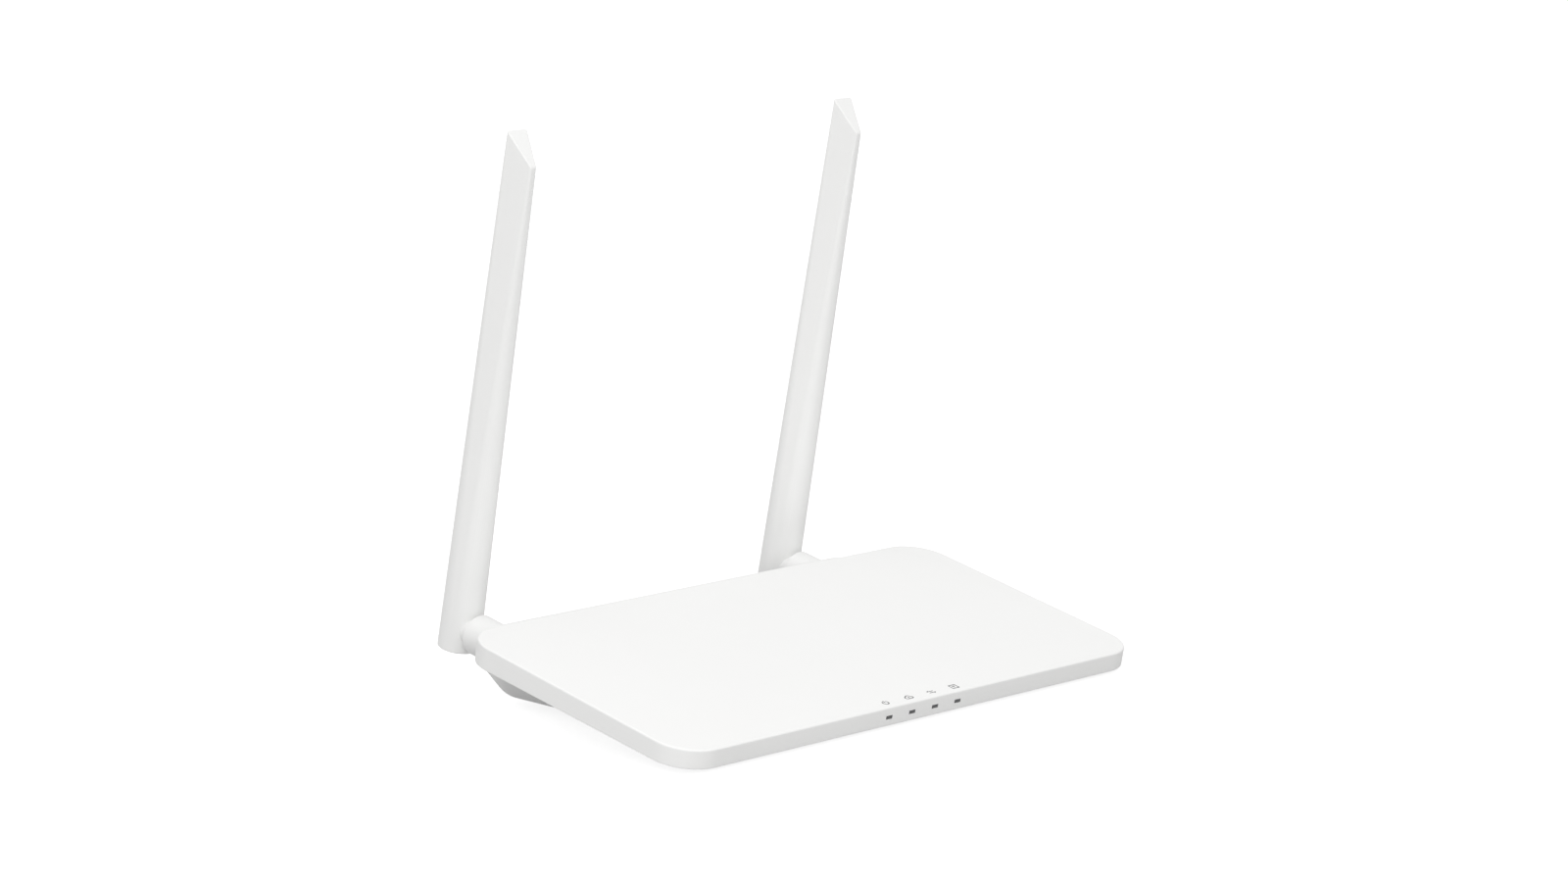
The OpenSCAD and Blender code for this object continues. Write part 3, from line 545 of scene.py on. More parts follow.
def grow_points(name, places, tree, **inputs):
    """Runs a node tree on a set of points, sets its named inputs and keeps the mesh."""
    mesh = bpy.data.meshes.new(name)
    mesh.from_pydata([tuple(place) for place in places], [], [])
    piece = bpy.data.objects.new(name, mesh)
    bpy.context.scene.collection.objects.link(piece)
    step = piece.modifiers.new(name, "NODES")
    step.node_group = tree
    for item in tree.interface.items_tree:
        if item.in_out == "INPUT" and item.name in inputs:
            step[item.identifier] = inputs[item.name]
    return settle(piece)


# White ABS from a spark-eroded tool: matt, with a grain that only shows close up. The real
# grain is about 0.1 mm; it is drawn three times as coarse so that it shows at all.
case_white = moulded("white_abs_eroded", "#efefee", 0.5, 0.3 * MM, 0.012 * MM)

vent_starts = [desk_place @ Vector((-VENT_PITCH * (VENT_COUNT - 1) / 2, y, FOOT_H - MM))
               for y in VENT_ROWS_Y]
carve(tub, [grow_points("vents", vent_starts, vent_tree(), Count=VENT_COUNT,
                        Pitch=VENT_PITCH, Material=case_white)])
tub.name = "tub"
soften(tub, 0.2 * MM)
dress(tub, case_white, "case", "case_plastic", "bottom_cover")

# ---------- feet ----------
# Four feet of dark grey elastomer, punched from thick sheet with a rounded rubbing edge,
# and glued into shallow recesses under the tub.

# Matt elastomer: a dull dark grey with a soft, slightly uneven surface
foot_rubber = moulded("elastomer_matt", "#3b3c3e", 0.8, 0.4 * MM, 0.02 * MM, 0.1, 1.5)


def set_out_tree(name):
    """Puts one part on every point, turned as asked, and gives it its material."""
    tree = bpy.data.node_groups.new(name, "GeometryNodeTree")
    for socket, kind in (("Geometry", "Geometry"), ("Part", "Object"), ("Turn", "Rotation"),
                         ("Material", "Material")):
        tree.interface.new_socket(socket, in_out="INPUT", socket_type="NodeSocket" + kind)
    tree.interface.new_socket("Geometry", in_out="OUTPUT", socket_type="NodeSocketGeometry")
    given = add_node(tree, "NodeGroupInput").outputs
    part = add_node(tree, "GeometryNodeObjectInfo", {"Object": given["Part"]})
    laid = add_node(tree, "GeometryNodeInstanceOnPoints",
                    {"Points": given["Geometry"], "Instance": part.outputs["Geometry"],
                     "Rotation": given["Turn"]})
    real = add_node(tree, "GeometryNodeRealizeInstances", {"Geometry": laid.outputs[0]})
    paint = add_node(tree, "GeometryNodeSetMaterial",
                     {"Geometry": real.outputs[0], "Material": given["Material"]})
    add_node(tree, "NodeGroupOutput", {"Geometry": paint.outputs[0]})
    return tree


def quarter(r, z, radius, start, steps=4):
    """Points of a quarter round with its centre at (r, z)."""
    return [(r + radius * math.cos(math.radians(start + 90 * i / steps)),
             z + radius * math.sin(math.radians(start + 90 * i / steps)))
            for i in range(steps + 1)]


POLE = 0.02 * MM
FOOT_EDGE = 0.5 * MM
foot_profile = ([(POLE, 0)] + quarter(FOOT_R - FOOT_EDGE, FOOT_EDGE, FOOT_EDGE, -90)
                + [(FOOT_R, FOOT_H + FOOT_RECESS), (POLE, FOOT_H + FOOT_RECESS)])
foot_part = turn("foot_part", foot_profile)
foot_places = [((low.x + high.x) / 2, (low.y + high.y) / 2, 0) for low, high in foot_boxes]
feet = grow_points("feet", foot_places, set_out_tree("set_out_feet"), Part=foot_part,
                   Material=foot_rubber)
bpy.data.objects.remove(foot_part)
soften(feet, 0)
dress(feet, foot_rubber, "case", "foot_rubber", "rubber_feet")

# ---------- circuit board ----------
# Glass-epoxy laminate under a green solder mask, with moulded epoxy chips, a tinplate can
# over the radio, a metal-cased crystal and aluminium capacitors, soldered by machine.


def metal(name, colour, roughness, grain, stretch=(1, 1, 1)):
    """Metal with fine rolling or plating marks, longer along one axis where stretched."""
    material = bpy.data.materials.new(name)
    material.use_nodes = True
    tree = material.node_tree
    tree.nodes.clear()
    place = add_node(tree, "ShaderNodeTexCoord").outputs["Object"]
    drawn = add_node(tree, "ShaderNodeMapping", {"Vector": place, "Scale": stretch})
    marks = add_node(tree, "ShaderNodeTexNoise",
                     {"Vector": drawn.outputs["Vector"], "Scale": 1 / grain, "Detail": 4.0})
    gloss = add_node(tree, "ShaderNodeMapRange",
                     {"Value": marks.outputs["Fac"], "To Min": roughness - 0.08,
                      "To Max": roughness + 0.1})
    relief = add_node(tree, "ShaderNodeBump", {"Height": marks.outputs["Fac"],
                                               "Distance": 0.004 * MM, "Strength": 0.5})
    shader = add_node(tree, "ShaderNodeBsdfPrincipled",
                      {"Base Color": linear(colour), "Metallic": 1.0,
                       "Roughness": gloss.outputs["Result"],
                       "Normal": relief.outputs["Normal"]})
    add_node(tree, "ShaderNodeOutputMaterial", {"Surface": shader.outputs["BSDF"]})
    return material


# Solder mask is glossy over the copper; moulded epoxy is dull black; tinplate shows its
# rolling marks; aluminium and zinc plating are bright and slightly cloudy.
repaint(moulded("solder_mask_green", "#1d5a36", 0.35, 1.2 * MM, 0.02 * MM, 0.25, 1.5),
        "main_board", "left_radiator", "right_radiator")
repaint(moulded("epoxy_moulded_black", "#25262a", 0.6, 0.25 * MM, 0.01 * MM, 0.15, 1.55),
        "processor_chip", "radio_chip", "memory_chip", "line_transformers")
repaint(metal("tinplate_rolled", "#c9cacb", 0.35, 0.8 * MM, (1, 8, 1)),
        "radio_shield", "clock_crystal")
repaint(metal("aluminium_sleeved", "#8f949c", 0.4, 1.0 * MM), "capacitors")
repaint(moulded("ferrite_lacquered", "#3a3a3c", 0.55, 0.3 * MM, 0.02 * MM, 0.2),
        "power_inductor")
repaint(moulded("led_epoxy_diffused", "#f2efe2", 0.3, 0.3 * MM, 0.002 * MM, 0.05, 1.5),
        "status_leds")
plated_steel = metal("steel_zinc_plated", "#bfc0c2", 0.32, 0.5 * MM)
repaint(plated_steel, "board_screws", "antenna_nuts", "left_clip", "right_clip")
# Gilt phosphor bronze: a warm, even yellow gleam
gold_plate = metal("phosphor_bronze_gilt", "#e0b860", 0.28, 0.3 * MM)
repaint(gold_plate, "coax_sockets")
repaint(moulded("cable_jacket_fluoropolymer", "#2a2a2c", 0.45, 0.2 * MM, 0.004 * MM, 0.1, 1.4),
        "left_pigtail", "right_pigtail", "left_antenna_coax", "right_antenna_coax")
repaint(moulded("nylon_washer", "#8c8c8a", 0.5, 0.2 * MM, 0.004 * MM, 0.05),
        "left_washer", "right_washer")

# ---------- network jacks ----------
# Two 8-way jacks moulded in black glass-filled nylon: a plug cavity with a latch notch
# below, a bevelled lead-in round its mouth, and eight gilt springs hanging from the roof.

# Glass-filled nylon: near black and satin, with a faint fibre mottle
black_nylon = moulded("nylon_glass_filled_black", "#2c2d30", 0.5, 0.3 * MM, 0.015 * MM, 0.1)

CAVITY_W = 11.9 * MM
CAVITY_H = 9.2 * MM
CAVITY_D = 15 * MM
CAVITY_LOW = 2.2 * MM
LATCH_W = 6.4 * MM
LATCH_LOW = 1.3 * MM
LEAD_IN = 0.5 * MM
for side in ("left", "right"):
    low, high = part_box(side + "_network_jack")
    middle = (low.x + high.x) / 2
    jack = slab(side + "_jack", low, high)
    cavity = slab("cavity", (middle - CAVITY_W / 2, high.y - CAVITY_D, low.z + CAVITY_LOW),
                  (middle + CAVITY_W / 2, high.y + MM, low.z + CAVITY_LOW + CAVITY_H))
    latch = slab("latch", (middle - LATCH_W / 2, high.y - CAVITY_D, low.z + LATCH_LOW),
                 (middle + LATCH_W / 2, high.y + MM, low.z + CAVITY_LOW + MM))
    carve(jack, [cavity, latch])
    rings = [[(middle + sx * (CAVITY_W / 2 + grow), y, low.z + z) for sx, z in
              ((-1, CAVITY_LOW - grow), (1, CAVITY_LOW - grow),
               (1, CAVITY_LOW + CAVITY_H + grow), (-1, CAVITY_LOW + CAVITY_H + grow))]
             for grow, y in ((0, high.y - LEAD_IN), (LEAD_IN * 1.5, high.y + LEAD_IN / 2))]
    carve(jack, [loft("lead_in", rings)])
    soften(jack, 0.15 * MM)
    dress(jack, black_nylon, "case", "socket_plastic", side + "_network_jack")

CONTACT_COUNT = 8
CONTACT_PITCH = 1.02 * MM
CONTACT_W = 0.5 * MM
CONTACT_T = 0.35 * MM
CONTACT_L = 10.5 * MM
CONTACT_DROP = 1.4 * MM
ROOF_GAP = 0.4 * MM


def spring_tree():
    """A row of equal springs: a strip swept along the bend, repeated at the pitch."""
    tree = bpy.data.node_groups.new("contact_springs", "GeometryNodeTree")
    tree.interface.new_socket("Geometry", in_out="INPUT", socket_type="NodeSocketGeometry")
    for name, value in (("Count", CONTACT_COUNT), ("Pitch", CONTACT_PITCH),
                        ("Width", CONTACT_W), ("Thickness", CONTACT_T),
                        ("Length", CONTACT_L), ("Drop", CONTACT_DROP)):
        kind = "NodeSocketInt" if name == "Count" else "NodeSocketFloat"
        socket = tree.interface.new_socket(name, in_out="INPUT", socket_type=kind)
        socket.default_value = value
    tree.interface.new_socket("Material", in_out="INPUT", socket_type="NodeSocketMaterial")
    tree.interface.new_socket("Geometry", in_out="OUTPUT", socket_type="NodeSocketGeometry")
    given = add_node(tree, "NodeGroupInput").outputs
    fall = add_node(tree, "ShaderNodeMath", {0: given["Drop"], 1: -1.0}, operation="MULTIPLY")
    third = add_node(tree, "ShaderNodeMath", {0: given["Length"], 1: 0.35},
                     operation="MULTIPLY")
    bend = add_node(tree, "ShaderNodeCombineXYZ", {"Y": third.outputs[0]})
    tip = add_node(tree, "ShaderNodeCombineXYZ", {"Y": given["Length"], "Z": fall.outputs[0]})
    run = add_node(tree, "GeometryNodeCurveQuadraticBezier",
                   {"Resolution": 10, "Middle": bend.outputs[0], "End": tip.outputs[0]})
    run.inputs["Start"].default_value = (0, 0, 0)
    strip = add_node(tree, "GeometryNodeCurvePrimitiveQuadrilateral",
                     {"Width": given["Thickness"], "Height": given["Width"]})
    swept = add_node(tree, "GeometryNodeCurveToMesh",
                     {"Curve": run.outputs["Curve"], "Profile Curve": strip.outputs["Curve"],
                      "Fill Caps": True})
    step = add_node(tree, "ShaderNodeCombineXYZ", {"X": given["Pitch"]})
    row = add_node(tree, "GeometryNodeMeshLine",
                   {"Count": given["Count"], "Offset": step.outputs[0]})
    rows = add_node(tree, "GeometryNodeInstanceOnPoints",
                    {"Points": given["Geometry"], "Instance": row.outputs["Mesh"]})
    points = add_node(tree, "GeometryNodeRealizeInstances", {"Geometry": rows.outputs[0]})
    laid = add_node(tree, "GeometryNodeInstanceOnPoints",
                    {"Points": points.outputs[0], "Instance": swept.outputs[0]})
    real = add_node(tree, "GeometryNodeRealizeInstances", {"Geometry": laid.outputs[0]})
    paint = add_node(tree, "GeometryNodeSetMaterial",
                     {"Geometry": real.outputs[0], "Material": given["Material"]})
    add_node(tree, "NodeGroupOutput", {"Geometry": paint.outputs[0]})
    return tree


contact_starts = []
for side in ("left", "right"):
    low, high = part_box(side + "_network_jack")
    middle = (low.x + high.x) / 2
    contact_starts.append((middle - (CONTACT_COUNT - 1) / 2 * CONTACT_PITCH, high.y - CAVITY_D,
                           low.z + CAVITY_LOW + CAVITY_H - ROOF_GAP))
contacts = grow_points("contacts", contact_starts, spring_tree(), Count=CONTACT_COUNT,
                       Pitch=CONTACT_PITCH, Material=gold_plate)
dress(contacts, gold_plate, "case", "gilt_contacts", "jack_contacts")

# ---------- power inlet ----------
# A low-voltage barrel inlet moulded in the same black nylon, with a plated centre pin that
# is pressed into its back wall.

BARREL_R = 3.15 * MM
BARREL_DEPTH = 10.5 * MM
PIN_R = 1.0 * MM
PIN_LENGTH = 9.5 * MM
pin_low, pin_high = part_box("power_pin")
inlet_low, inlet_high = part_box("power_jack")
barrel_place = (Matrix.Translation(((pin_low.x + pin_high.x) / 2, inlet_high.y,
                                    (pin_low.z + pin_high.z) / 2))
                @ Matrix.Rotation(math.radians(-90), 4, "X"))
inlet = slab("power_inlet", inlet_low, inlet_high)
carve(inlet, [disc("barrel", BARREL_R, -BARREL_DEPTH, MM, barrel_place)])
mouth = [[((BARREL_R + grow) * math.cos(math.pi * i / 24),
           (BARREL_R + grow) * math.sin(math.pi * i / 24), z) for i in range(48)]
         for grow, z in ((0, -LEAD_IN), (LEAD_IN * 1.5, LEAD_IN / 2))]
carve(inlet, [loft("mouth", mouth, barrel_place)])
soften(inlet, 0.15 * MM)
dress(inlet, black_nylon, "case", "socket_plastic", "power_jack")

PIN_ROUND = 0.5 * MM
pin_profile = ([(POLE, 0), (PIN_R, 0)] + quarter(PIN_R - PIN_ROUND, PIN_LENGTH - PIN_ROUND,
                                                 PIN_ROUND, 0) + [(POLE, PIN_LENGTH)])
pin = turn("inlet_pin", pin_profile,
           barrel_place @ Matrix.Translation((0, 0, -BARREL_DEPTH)), 24)
soften(pin, 0)
dress(pin, plated_steel, "case", "plated_steel", "power_pin")

# ---------- pairing button ----------
# A small push button in the case's own white ABS, with a shallow dish for the fingertip
# and a flange inside the wall that keeps it captive; it presses a switch on the board.

FLANGE_R = 3.4 * MM
FLANGE_T = 1.0 * MM
button_length = button_high.y - button_low.y
BUTTON_EDGE = 0.3 * MM
dish = [(1.9 * MM, 0), (1.4 * MM, -0.1 * MM), (0.8 * MM, -0.2 * MM), (POLE, -0.25 * MM)]
button_profile = ([(POLE, -button_length), (FLANGE_R, -button_length),
                   (FLANGE_R, -button_length + FLANGE_T), (BUTTON_R, -button_length + FLANGE_T)]
                  + quarter(BUTTON_R - BUTTON_EDGE, -BUTTON_EDGE, BUTTON_EDGE, 0) + dish)
button = turn("pairing_push_button", button_profile, button_place, 40)
soften(button, 0)
dress(button, case_white, "button", "case_plastic", "pairing_button")
repaint(black_nylon, "button_switch")

# ---------- light guides ----------
# Four smoked polycarbonate windows on one bar inside, pressed into the slots in the
# plate's front edge; unlit they look nearly black and are polished smooth.
repaint(moulded("polycarbonate_smoked", "#2b2c2e", 0.22, 2 * MM, 0.001 * MM, 0.05, 1.58),
        "light_guides")

# ---------- plate ----------
# The plate is the case's thin sloping lid, moulded in white ABS with a small radius along
# its top edge, and carries the roof of the port block behind it.

TOP_EDGE = 0.6 * MM
LOW_EDGE = 0.3 * MM
EDGE_STEPS = 6


def plate_ring(inset, height, lowered=False):
    ring = outline(PLATE_HALF_W - inset, -PLATE_HALF_D + inset, PLATE_HALF_D - inset,
                   PLATE_R - inset, PLATE_R - inset, 20)
    return [(x, y, underside(y, height) if lowered else height) for x, y in ring]


quarters = [math.radians(90 * i / EDGE_STEPS) for i in range(EDGE_STEPS + 1)]
plate_rings = [plate_ring(TOP_EDGE * (1 - math.sin(a)), TOP_EDGE * (math.cos(a) - 1))
               for a in quarters]
plate_rings += [plate_ring(LOW_EDGE * (1 - math.cos(a)), LOW_EDGE * (1 - math.sin(a)), True)
                for a in quarters]
plate_rings += [plate_ring(WALL, 0, True), plate_ring(WALL, -WALL)]
plate = loft("plate", plate_rings, plate_place)

ROOF_T = 1.6 * MM
roof_ring = outline(BLOCK_HALF, 0, TUB_REAR, BLOCK_R, 0)
roof = loft("roof", [[(x, y, z) for x, y in roof_ring] for z in (BLOCK_LOW, REACH)],
            desk_place)
below_plate(roof, ROOF_T)
trim(roof, plate_place @ Vector((0, 0, underside(0))), -plate_up)
trim(roof, plate_place @ Vector((0, PLATE_HALF_D - WALL, 0)), -plate_back)
carve(plate, [roof], "UNION")

PILLAR_R = 3 * MM
for spot, low, deep in ((FRONT_SCREW, -4.0 * MM, 2 * MM), (REAR_SCREW, -13 * MM, 6 * MM)):
    for side in (-1, 1):
        foot = plate_place @ Matrix.Translation((side * spot.x, spot.y, 0))
        carve(plate, [disc("pillar", PILLAR_R, low, -WALL / 2, foot)], "UNION")
        carve(plate, [disc("thread", THREAD_R + SEAT_GAP, low - MM, low + deep, foot)])

LED_PITCH = 10 * MM
LED_W = 2.8 * MM
LED_H = 1.2 * MM
LED_DEPTH = 3.3 * MM
led_xs = [(i - 1.5) * LED_PITCH for i in range(4)]
carve(plate, [slab("led", (x - LED_W / 2, -PLATE_HALF_D - MM, -LED_DEPTH - LED_H / 2),
                   (x + LED_W / 2, -PLATE_HALF_D + WALL + MM, -LED_DEPTH + LED_H / 2),
                   plate_place) for x in led_xs])
soften(plate, 0)
dress(plate, case_white, "case", "case_plastic", "top_cover")

# ---------- printed symbols ----------
# Four generic signs pad-printed in grey ink above the windows: power, internet, traffic
# and wired port. The ink film is really about 0.01 mm thick; here it is 0.02 mm.

INK_T = 0.02 * MM
LINE_W = 0.34 * MM
grey_ink = moulded("pad_printing_ink_grey", "#57585a", 0.6, 0.4 * MM, 0.002 * MM, 0.08)


def stroke(bm, points, width, closed):
    """One inked line: a flat ribbon with mitred joints."""
    points = [Vector(p) for p in points]
    count = len(points)
    rows = []
    for i, point in enumerate(points):
        before = points[i - 1] if closed or i else point
        after = points[(i + 1) % count] if closed or i < count - 1 else point
        ways = [(b - a).normalized() for a, b in ((before, point), (point, after)) if a != b]
        way = sum(ways, Vector((0, 0))).normalized()
        out = Vector((-way.y, way.x))
        flat = Vector((-ways[0].y, ways[0].x))
        half = out * (width / 2 / max(out.dot(flat), 0.4))
        rows.append([bm.verts.new((*(point + s * half), z))
                     for s, z in ((-1, -INK_T), (1, -INK_T), (1, INK_T), (-1, INK_T))])
    for i in range(count if closed else count - 1):
        low, high = rows[i], rows[(i + 1) % count]
        for j in range(4):
            k = (j + 1) % 4
            bm.faces.new((low[j], low[k], high[k], high[j]))
    if not closed:
        bm.faces.new(rows[0])
        bm.faces.new(rows[-1])


def arc(cx, cy, r, start, end, steps=12):
    return [(cx + r * math.cos(math.radians(start + (end - start) * i / steps)),
             cy + r * math.sin(math.radians(start + (end - start) * i / steps)))
            for i in range(steps + 1)]


SIGNS = [
    [(arc(0, 0, 1.05, 125, 415, 20), False), ([(0, 0.2), (0, 1.35)], False)],
    [(arc(-0.85, -0.2, 0.7, 90, 270, 8) + arc(0.95, -0.3, 0.6, -90, 75, 8)
      + arc(0.1, 0.3, 0.85, 20, 160, 10), True),
     ([(0, -0.45), (0, 0.35)], False)],
    [([(1.1, 0.45), (-1.3, 0.45), (-0.7, 0.95)], False),
     ([(-1.1, -0.45), (1.3, -0.45), (0.7, -0.95)], False)],
    [([(-1.3, -1.1), (1.3, -1.1), (1.3, 1.1), (-1.3, 1.1)], True),
     ([(-0.6, 0.3), (0.6, 0.3)], False), ([(0, 0.3), (0, -0.5)], False)],
]
SIGN_SHIFT = 1.0 * MM
SIGN_Y = -PLATE_HALF_D + 3.3 * MM
print_mesh = bmesh.new()
for x, sign in zip(led_xs, SIGNS):
    for points, closed in sign:
        inked = [(x + SIGN_SHIFT + px * MM, SIGN_Y + py * MM) for px, py in points]
        stroke(print_mesh, inked, LINE_W, closed)
signs = as_object("printed_signs", print_mesh, plate_place)
dress(signs, grey_ink, "case", "case_plastic")

# ---------- case screws ----------
# Four cross-recessed thread-forming screws of zinc-plated steel, driven from below into
# the plate's pillars; their heads sit deep in round pockets.


def screw_part(name, length, head):
    edge = 0.35 * MM
    profile = ([(POLE, -head)] + quarter(HEAD_R - edge, -head + edge, edge, -90)
               + [(HEAD_R, 0), (THREAD_R, 0), (THREAD_R, length - MM),
                  (THREAD_R * 0.6, length), (POLE, length)])
    part = turn(name, profile, None, 32)
    wide, long = 0.3 * MM, HEAD_R * 0.6
    for x, y in ((long, wide), (wide, long)):
        carve(part, [slab("slot", (-x, -y, -head - MM), (x, y, -head * 0.45))])
    return part


for name, spot, length, head in (("front_screws", FRONT_SCREW, 2.85 * MM, 0.9 * MM),
                                 ("rear_screws", REAR_SCREW, 7.1 * MM, 1.6 * MM)):
    part = screw_part(name + "_part", length, head)
    part.data.transform(Matrix.Rotation(tilt, 4, "X"))
    spots = [plate_place @ Vector((side * spot.x, spot.y, spot.z)) for side in (-1, 1)]
    screws = grow_points(name, spots, set_out_tree("set_out_" + name), Part=part,
                         Material=plated_steel)
    bpy.data.objects.remove(part)
    soften(screws, 0)
    dress(screws, plated_steel, "case", "plated_steel", "case_screws")

# ---------- stubs ----------
# Each stub is a turned white ABS barrel with a threaded neck through the rear wall and a
# spigot that the antenna turns on; the aerial cable runs through its bore.

# The same ABS, moulded in a smoother tool (slightly lower roughness); its colour is a shade
# brighter than the case's as painted light, so the stubs and antennas render a little brighter
antenna_white_brightened = moulded("white_abs_antenna_brightened", "#f0f0ef", 0.48, 0.3 * MM, 0.01 * MM)

STUB_R = 6.5 * MM
SPIGOT_R = 3.4 * MM
GROOVE_R = SPIGOT_R - 0.8 * MM
BORE_R = 1.5 * MM
STUB_EDGE = 0.35 * MM
STUB_FACE = 74.82 * MM
SPIGOT_END = 82 * MM
NECK_END = 51.2 * MM
GROOVE_LOW = 80.3 * MM
GROOVE_HIGH = GROOVE_LOW + 0.8 * MM
stub_start = BOSS_OUTER + SEAT_GAP
stub_profile = ([(BORE_R, NECK_END), (NECK_R, NECK_END), (NECK_R, stub_start)]
                + quarter(STUB_R - STUB_EDGE, stub_start + STUB_EDGE, STUB_EDGE, -90)
                + quarter(STUB_R - STUB_EDGE, STUB_FACE - STUB_EDGE, STUB_EDGE, 0)
                + [(SPIGOT_R, STUB_FACE), (SPIGOT_R, GROOVE_LOW), (GROOVE_R, GROOVE_LOW),
                   (GROOVE_R, GROOVE_HIGH), (SPIGOT_R, GROOVE_HIGH), (SPIGOT_R, SPIGOT_END),
                   (BORE_R, SPIGOT_END)])
for side, name in ((-1, "left"), (1, "right")):
    stub = turn(name + "_stub_barrel", stub_profile, along_swivel(side), 64)
    soften(stub, 0)
    dress(stub, antenna_white_brightened, "case", "antenna_plastic", name + "_stub")

# ---------- antennas ----------
# Each antenna is a hollow blade in white ABS: round at its foot, where the collar joins the
# stub, and drawn up to a narrow front edge and a flat back, with a slanted tip.

FOOT_RADIUS = 6.8 * MM
FOOT_Z = -21.6 * MM
TIP_Z = 146 * MM
TIP_DROP = 9.4 * MM
AXIS_Y = 83 * MM
EDGE_R = 0.5 * MM
TIP_BEVEL = 0.45 * MM
FOOT_BEVEL = 0.4 * MM
SHELL_WALL = 1.2 * MM
COLLAR_REACH = 7.8 * MM
COLLAR_R = 4.8 * MM
CAP_T = 1.6 * MM
CAP_GAP = 0.1 * MM
CAP_EDGE = 0.3 * MM
COLLAR_EDGE = 0.35 * MM
COLLAR_INSIDE = 3 * MM
TURN_CLEAR = 0.08 * MM
TIP_T = 2.5 * MM
BLADE_FRONT = -6.3 * MM
BLADE_BACK = 3.5 * MM
BLADE = [Vector(p) for p in ((0.85 * MM, BLADE_FRONT), (4.0 * MM, BLADE_BACK),
                             (-4.0 * MM, BLADE_BACK), (-0.85 * MM, BLADE_FRONT))]
tip_slope = TIP_DROP / (BLADE_BACK - BLADE_FRONT)
CORNER_STEPS = 10


def blade_lines(inset):
    """Straight lines of the loft, each from the round foot to a point of the blade's section."""
    lines = []
    count = len(BLADE)
    for i, corner in enumerate(BLADE):
        turns = []
        for a, b in ((BLADE[i - 1], corner), (corner, BLADE[(i + 1) % count])):
            way = b - a
            turns.append(math.atan2(-way.x, way.y))
        start, end = turns
        while end < start:
            end += 2 * math.pi
        mid = (start + end) / 2
        pull = EDGE_R / math.cos((end - start) / 2)
        centre = corner - Vector((math.cos(mid), math.sin(mid))) * pull
        for k in range(CORNER_STEPS + 1):
            a = start + (end - start) * k / CORNER_STEPS
            out = Vector((math.cos(a), math.sin(a)))
            lines.append((out * (FOOT_RADIUS - inset), centre + out * (EDGE_R - inset)))
    return lines


def blade_ring(inset, height=None, drop=0.0):
    """Section at a height, or along the slanted tip lowered by drop."""
    ring = []
    for low, high in blade_lines(inset):
        if height is None:
            top = TIP_Z - drop
            share = ((top - tip_slope * BLADE_BACK + tip_slope * low.y - FOOT_Z)
                     / (TIP_Z - FOOT_Z - tip_slope * (high.y - low.y)))
        else:
            share = (height - FOOT_Z) / (TIP_Z - FOOT_Z)
        spot = low.lerp(high, share)
        ring.append((spot.x, spot.y, FOOT_Z + share * (TIP_Z - FOOT_Z)))
    return ring


bends = [math.radians(90 * i / 4) for i in range(5)]
outer_rings = [blade_ring(FOOT_BEVEL * (1 - math.sin(a)),
                          FOOT_Z + FOOT_BEVEL * (1 - math.cos(a))) for a in bends]
outer_rings += [blade_ring(TIP_BEVEL * (1 - math.cos(a)), None,
                           TIP_BEVEL * (1 - math.sin(a))) for a in bends]
inner_rings = [blade_ring(SHELL_WALL, FOOT_Z - MM), blade_ring(SHELL_WALL, None, TIP_T)]
for side, name in ((-1, "left"), (1, "right")):
    stand = plate_place @ Matrix.Translation((side * SWIVEL_X, AXIS_Y, 0))
    swivel_axis = (stand @ Matrix.Translation((0, 0, SWIVEL_Z))
                   @ Matrix.Rotation(math.radians(-90), 4, "X"))
    shell = loft(name + "_antenna", outer_rings, stand)
    collar_rings = [[(r * math.cos(math.pi * i / 32), r * math.sin(math.pi * i / 32), z)
                     for i in range(64)] for r, z in
                    [(COLLAR_R - COLLAR_EDGE, -COLLAR_REACH),
                     (COLLAR_R - COLLAR_EDGE * 0.3, -COLLAR_REACH + COLLAR_EDGE * 0.3),
                     (COLLAR_R, -COLLAR_REACH + COLLAR_EDGE), (COLLAR_R, 0)]]
    carve(shell, [loft("collar", collar_rings, swivel_axis)], "UNION")
    inner = loft("inner", inner_rings, stand)
    carve(inner, [disc("keep", COLLAR_R, -COLLAR_REACH, -COLLAR_INSIDE, swivel_axis)])
    carve(shell, [inner,
                  disc("seat", FOOT_RADIUS - SHELL_WALL, FOOT_Z - MM, FOOT_Z + CAP_T, stand),
                  disc("bearing", SPIGOT_R + TURN_CLEAR, -COLLAR_REACH - MM, 0, swivel_axis)])
    soften(shell, 0)
    dress(shell, antenna_white_brightened, name + "_antenna", "antenna_plastic",
          name + "_antenna_shell")

    # The cap is a small turned disc glued into the blade's open foot
    cap_r = FOOT_RADIUS - SHELL_WALL - CAP_GAP
    cap_profile = ([(POLE, FOOT_Z)]
                   + quarter(cap_r - CAP_EDGE, FOOT_Z + CAP_EDGE, CAP_EDGE, -90)
                   + [(cap_r, FOOT_Z + CAP_T), (POLE, FOOT_Z + CAP_T)])
    cap = turn(name + "_antenna_end_cap", cap_profile, stand)
    soften(cap, 0)
    dress(cap, antenna_white_brightened, name + "_antenna", "antenna_plastic", name + "_antenna_cap")

# ---------- studio ----------
# A white sweep that stays white behind the object and takes its shadow, one soft light at
# the front left, one above, and an even surround.


def seen_directly(tree):
    """1 where the camera, a gloss or a clear part looks at the surface, else 0."""
    rays = add_node(tree, "ShaderNodeLightPath").outputs
    seen = add_node(tree, "ShaderNodeMath", {0: rays["Is Camera Ray"], 1: rays["Is Glossy Ray"]},
                    operation="MAXIMUM")
    either = add_node(tree, "ShaderNodeMath",
                      {0: seen.outputs[0], 1: rays["Is Transmission Ray"]},
                      operation="MAXIMUM")
    return either.outputs[0]


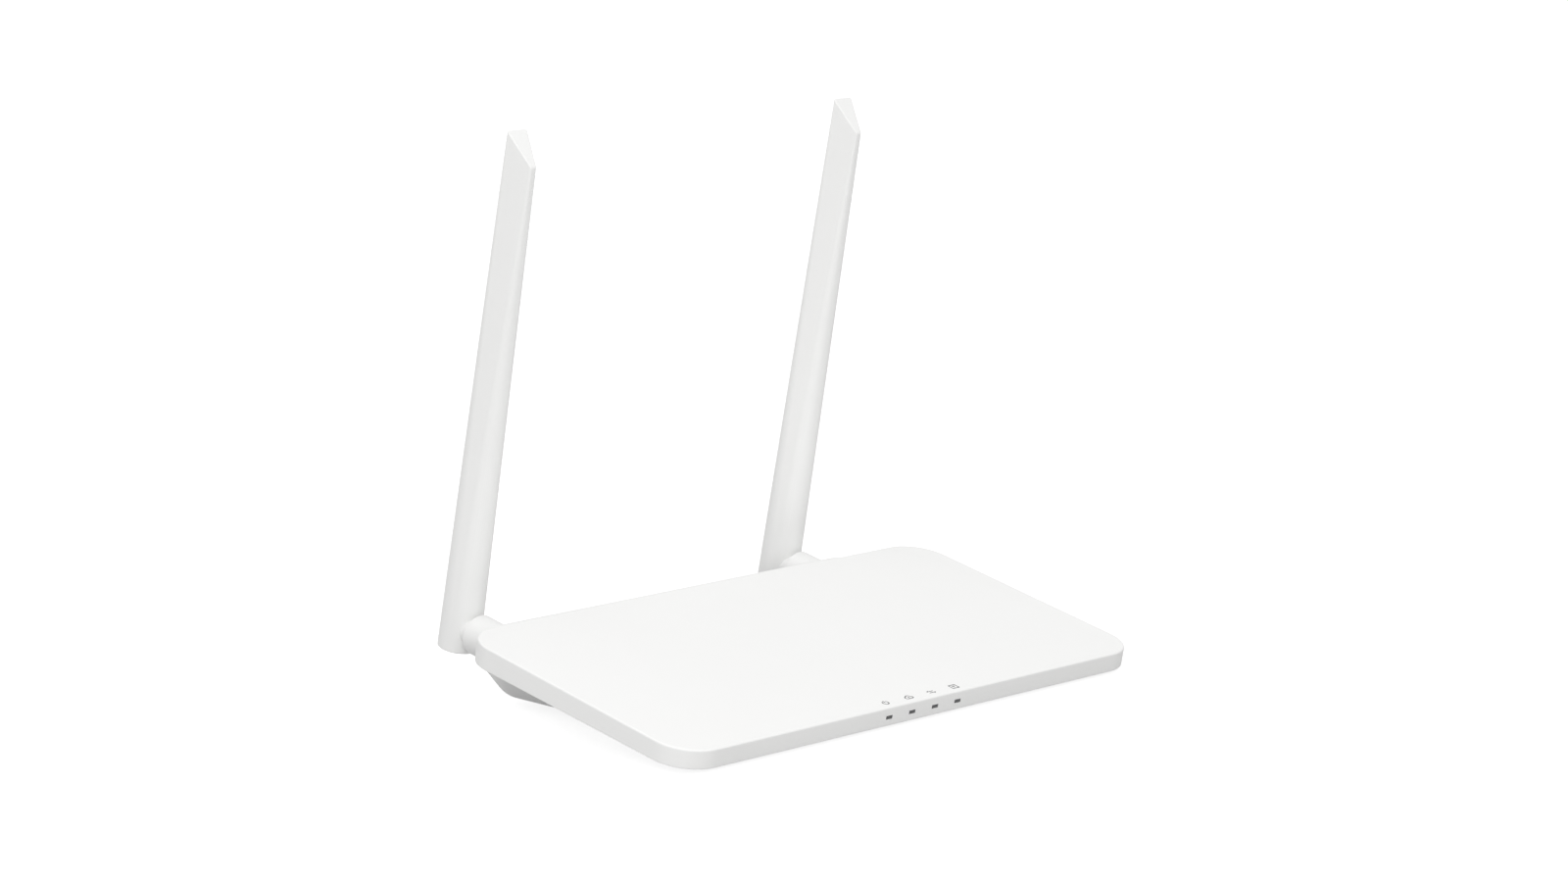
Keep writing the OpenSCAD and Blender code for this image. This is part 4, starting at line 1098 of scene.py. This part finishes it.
FLOOR_GLOW = 0.84
SURROUND = 0.74
floor_mesh = bmesh.new()
bmesh.ops.create_grid(floor_mesh, x_segments=1, y_segments=1, size=6)
floor = as_object("floor", floor_mesh)
sweep = bpy.data.materials.new("white_paper_sweep")
sweep.use_nodes = True
tree = sweep.node_tree
tree.nodes.clear()
paper = add_node(tree, "ShaderNodeBsdfDiffuse", {"Color": linear("#a8a8a8")})
glow_level = add_node(tree, "ShaderNodeMath", {0: seen_directly(tree), 1: FLOOR_GLOW},
                      operation="MULTIPLY")
glow = add_node(tree, "ShaderNodeEmission",
                {"Color": (1, 1, 1, 1), "Strength": glow_level.outputs[0]})
lit_paper = add_node(tree, "ShaderNodeAddShader", {0: paper.outputs[0], 1: glow.outputs[0]})
side_seen = add_node(tree, "ShaderNodeNewGeometry")
clear = add_node(tree, "ShaderNodeBsdfTransparent")
from_above = add_node(tree, "ShaderNodeMixShader", {0: side_seen.outputs["Backfacing"],
                                                    1: lit_paper.outputs[0],
                                                    2: clear.outputs[0]})
add_node(tree, "ShaderNodeOutputMaterial", {"Surface": from_above.outputs[0]})
floor.data.materials.append(sweep)

world = bpy.data.worlds.new("surround")
bpy.context.scene.world = world
world.use_nodes = True
tree = world.node_tree
tree.nodes.clear()
level = add_node(tree, "ShaderNodeMapRange",
                 {"Value": seen_directly(tree), "To Min": SURROUND, "To Max": 1.0})
sky = add_node(tree, "ShaderNodeBackground",
               {"Color": (1, 1, 1, 1), "Strength": level.outputs["Result"]})
add_node(tree, "ShaderNodeOutputWorld", {"Surface": sky.outputs[0]})


def soft_light(name, place, aim, size, power):
    lamp = bpy.data.lights.new(name, "AREA")
    lamp.shape = "SQUARE"
    lamp.size = size
    lamp.energy = power
    light = bpy.data.objects.new(name, lamp)
    light.location = place
    light.rotation_euler = (Vector(aim) - Vector(place)).to_track_quat("-Z", "Y").to_euler()
    bpy.context.scene.collection.objects.link(light)


middle = (cad_box[0] + cad_box[1]) / 2
soft_light("top_light", (-0.2, 0.1, 1.5), middle, 1.0, 5)
soft_light("front_left_light", (-1.15, -1.2, 0.5), middle, 0.7, 11)

# Camera at the front left, a little above the plate
camera_data = bpy.data.cameras.new("camera")
camera_data.lens = 98.65
camera_data.clip_start = 0.05
camera = bpy.data.objects.new("camera", camera_data)
bpy.context.scene.collection.objects.link(camera)
CAMERA_AIM = Vector((0.003, -0.007, 0.078))
CAMERA_DISTANCE = 1.336
azimuth, elevation = math.radians(-44.67), math.radians(10.12)
sight = Vector((-math.sin(azimuth) * math.cos(elevation),
                math.cos(azimuth) * math.cos(elevation), -math.sin(elevation)))
camera.location = CAMERA_AIM - sight * CAMERA_DISTANCE
camera.rotation_euler = sight.to_track_quat("-Z", "Y").to_euler()
bpy.context.scene.camera = camera
bpy.context.scene.view_settings.view_transform = "Standard"
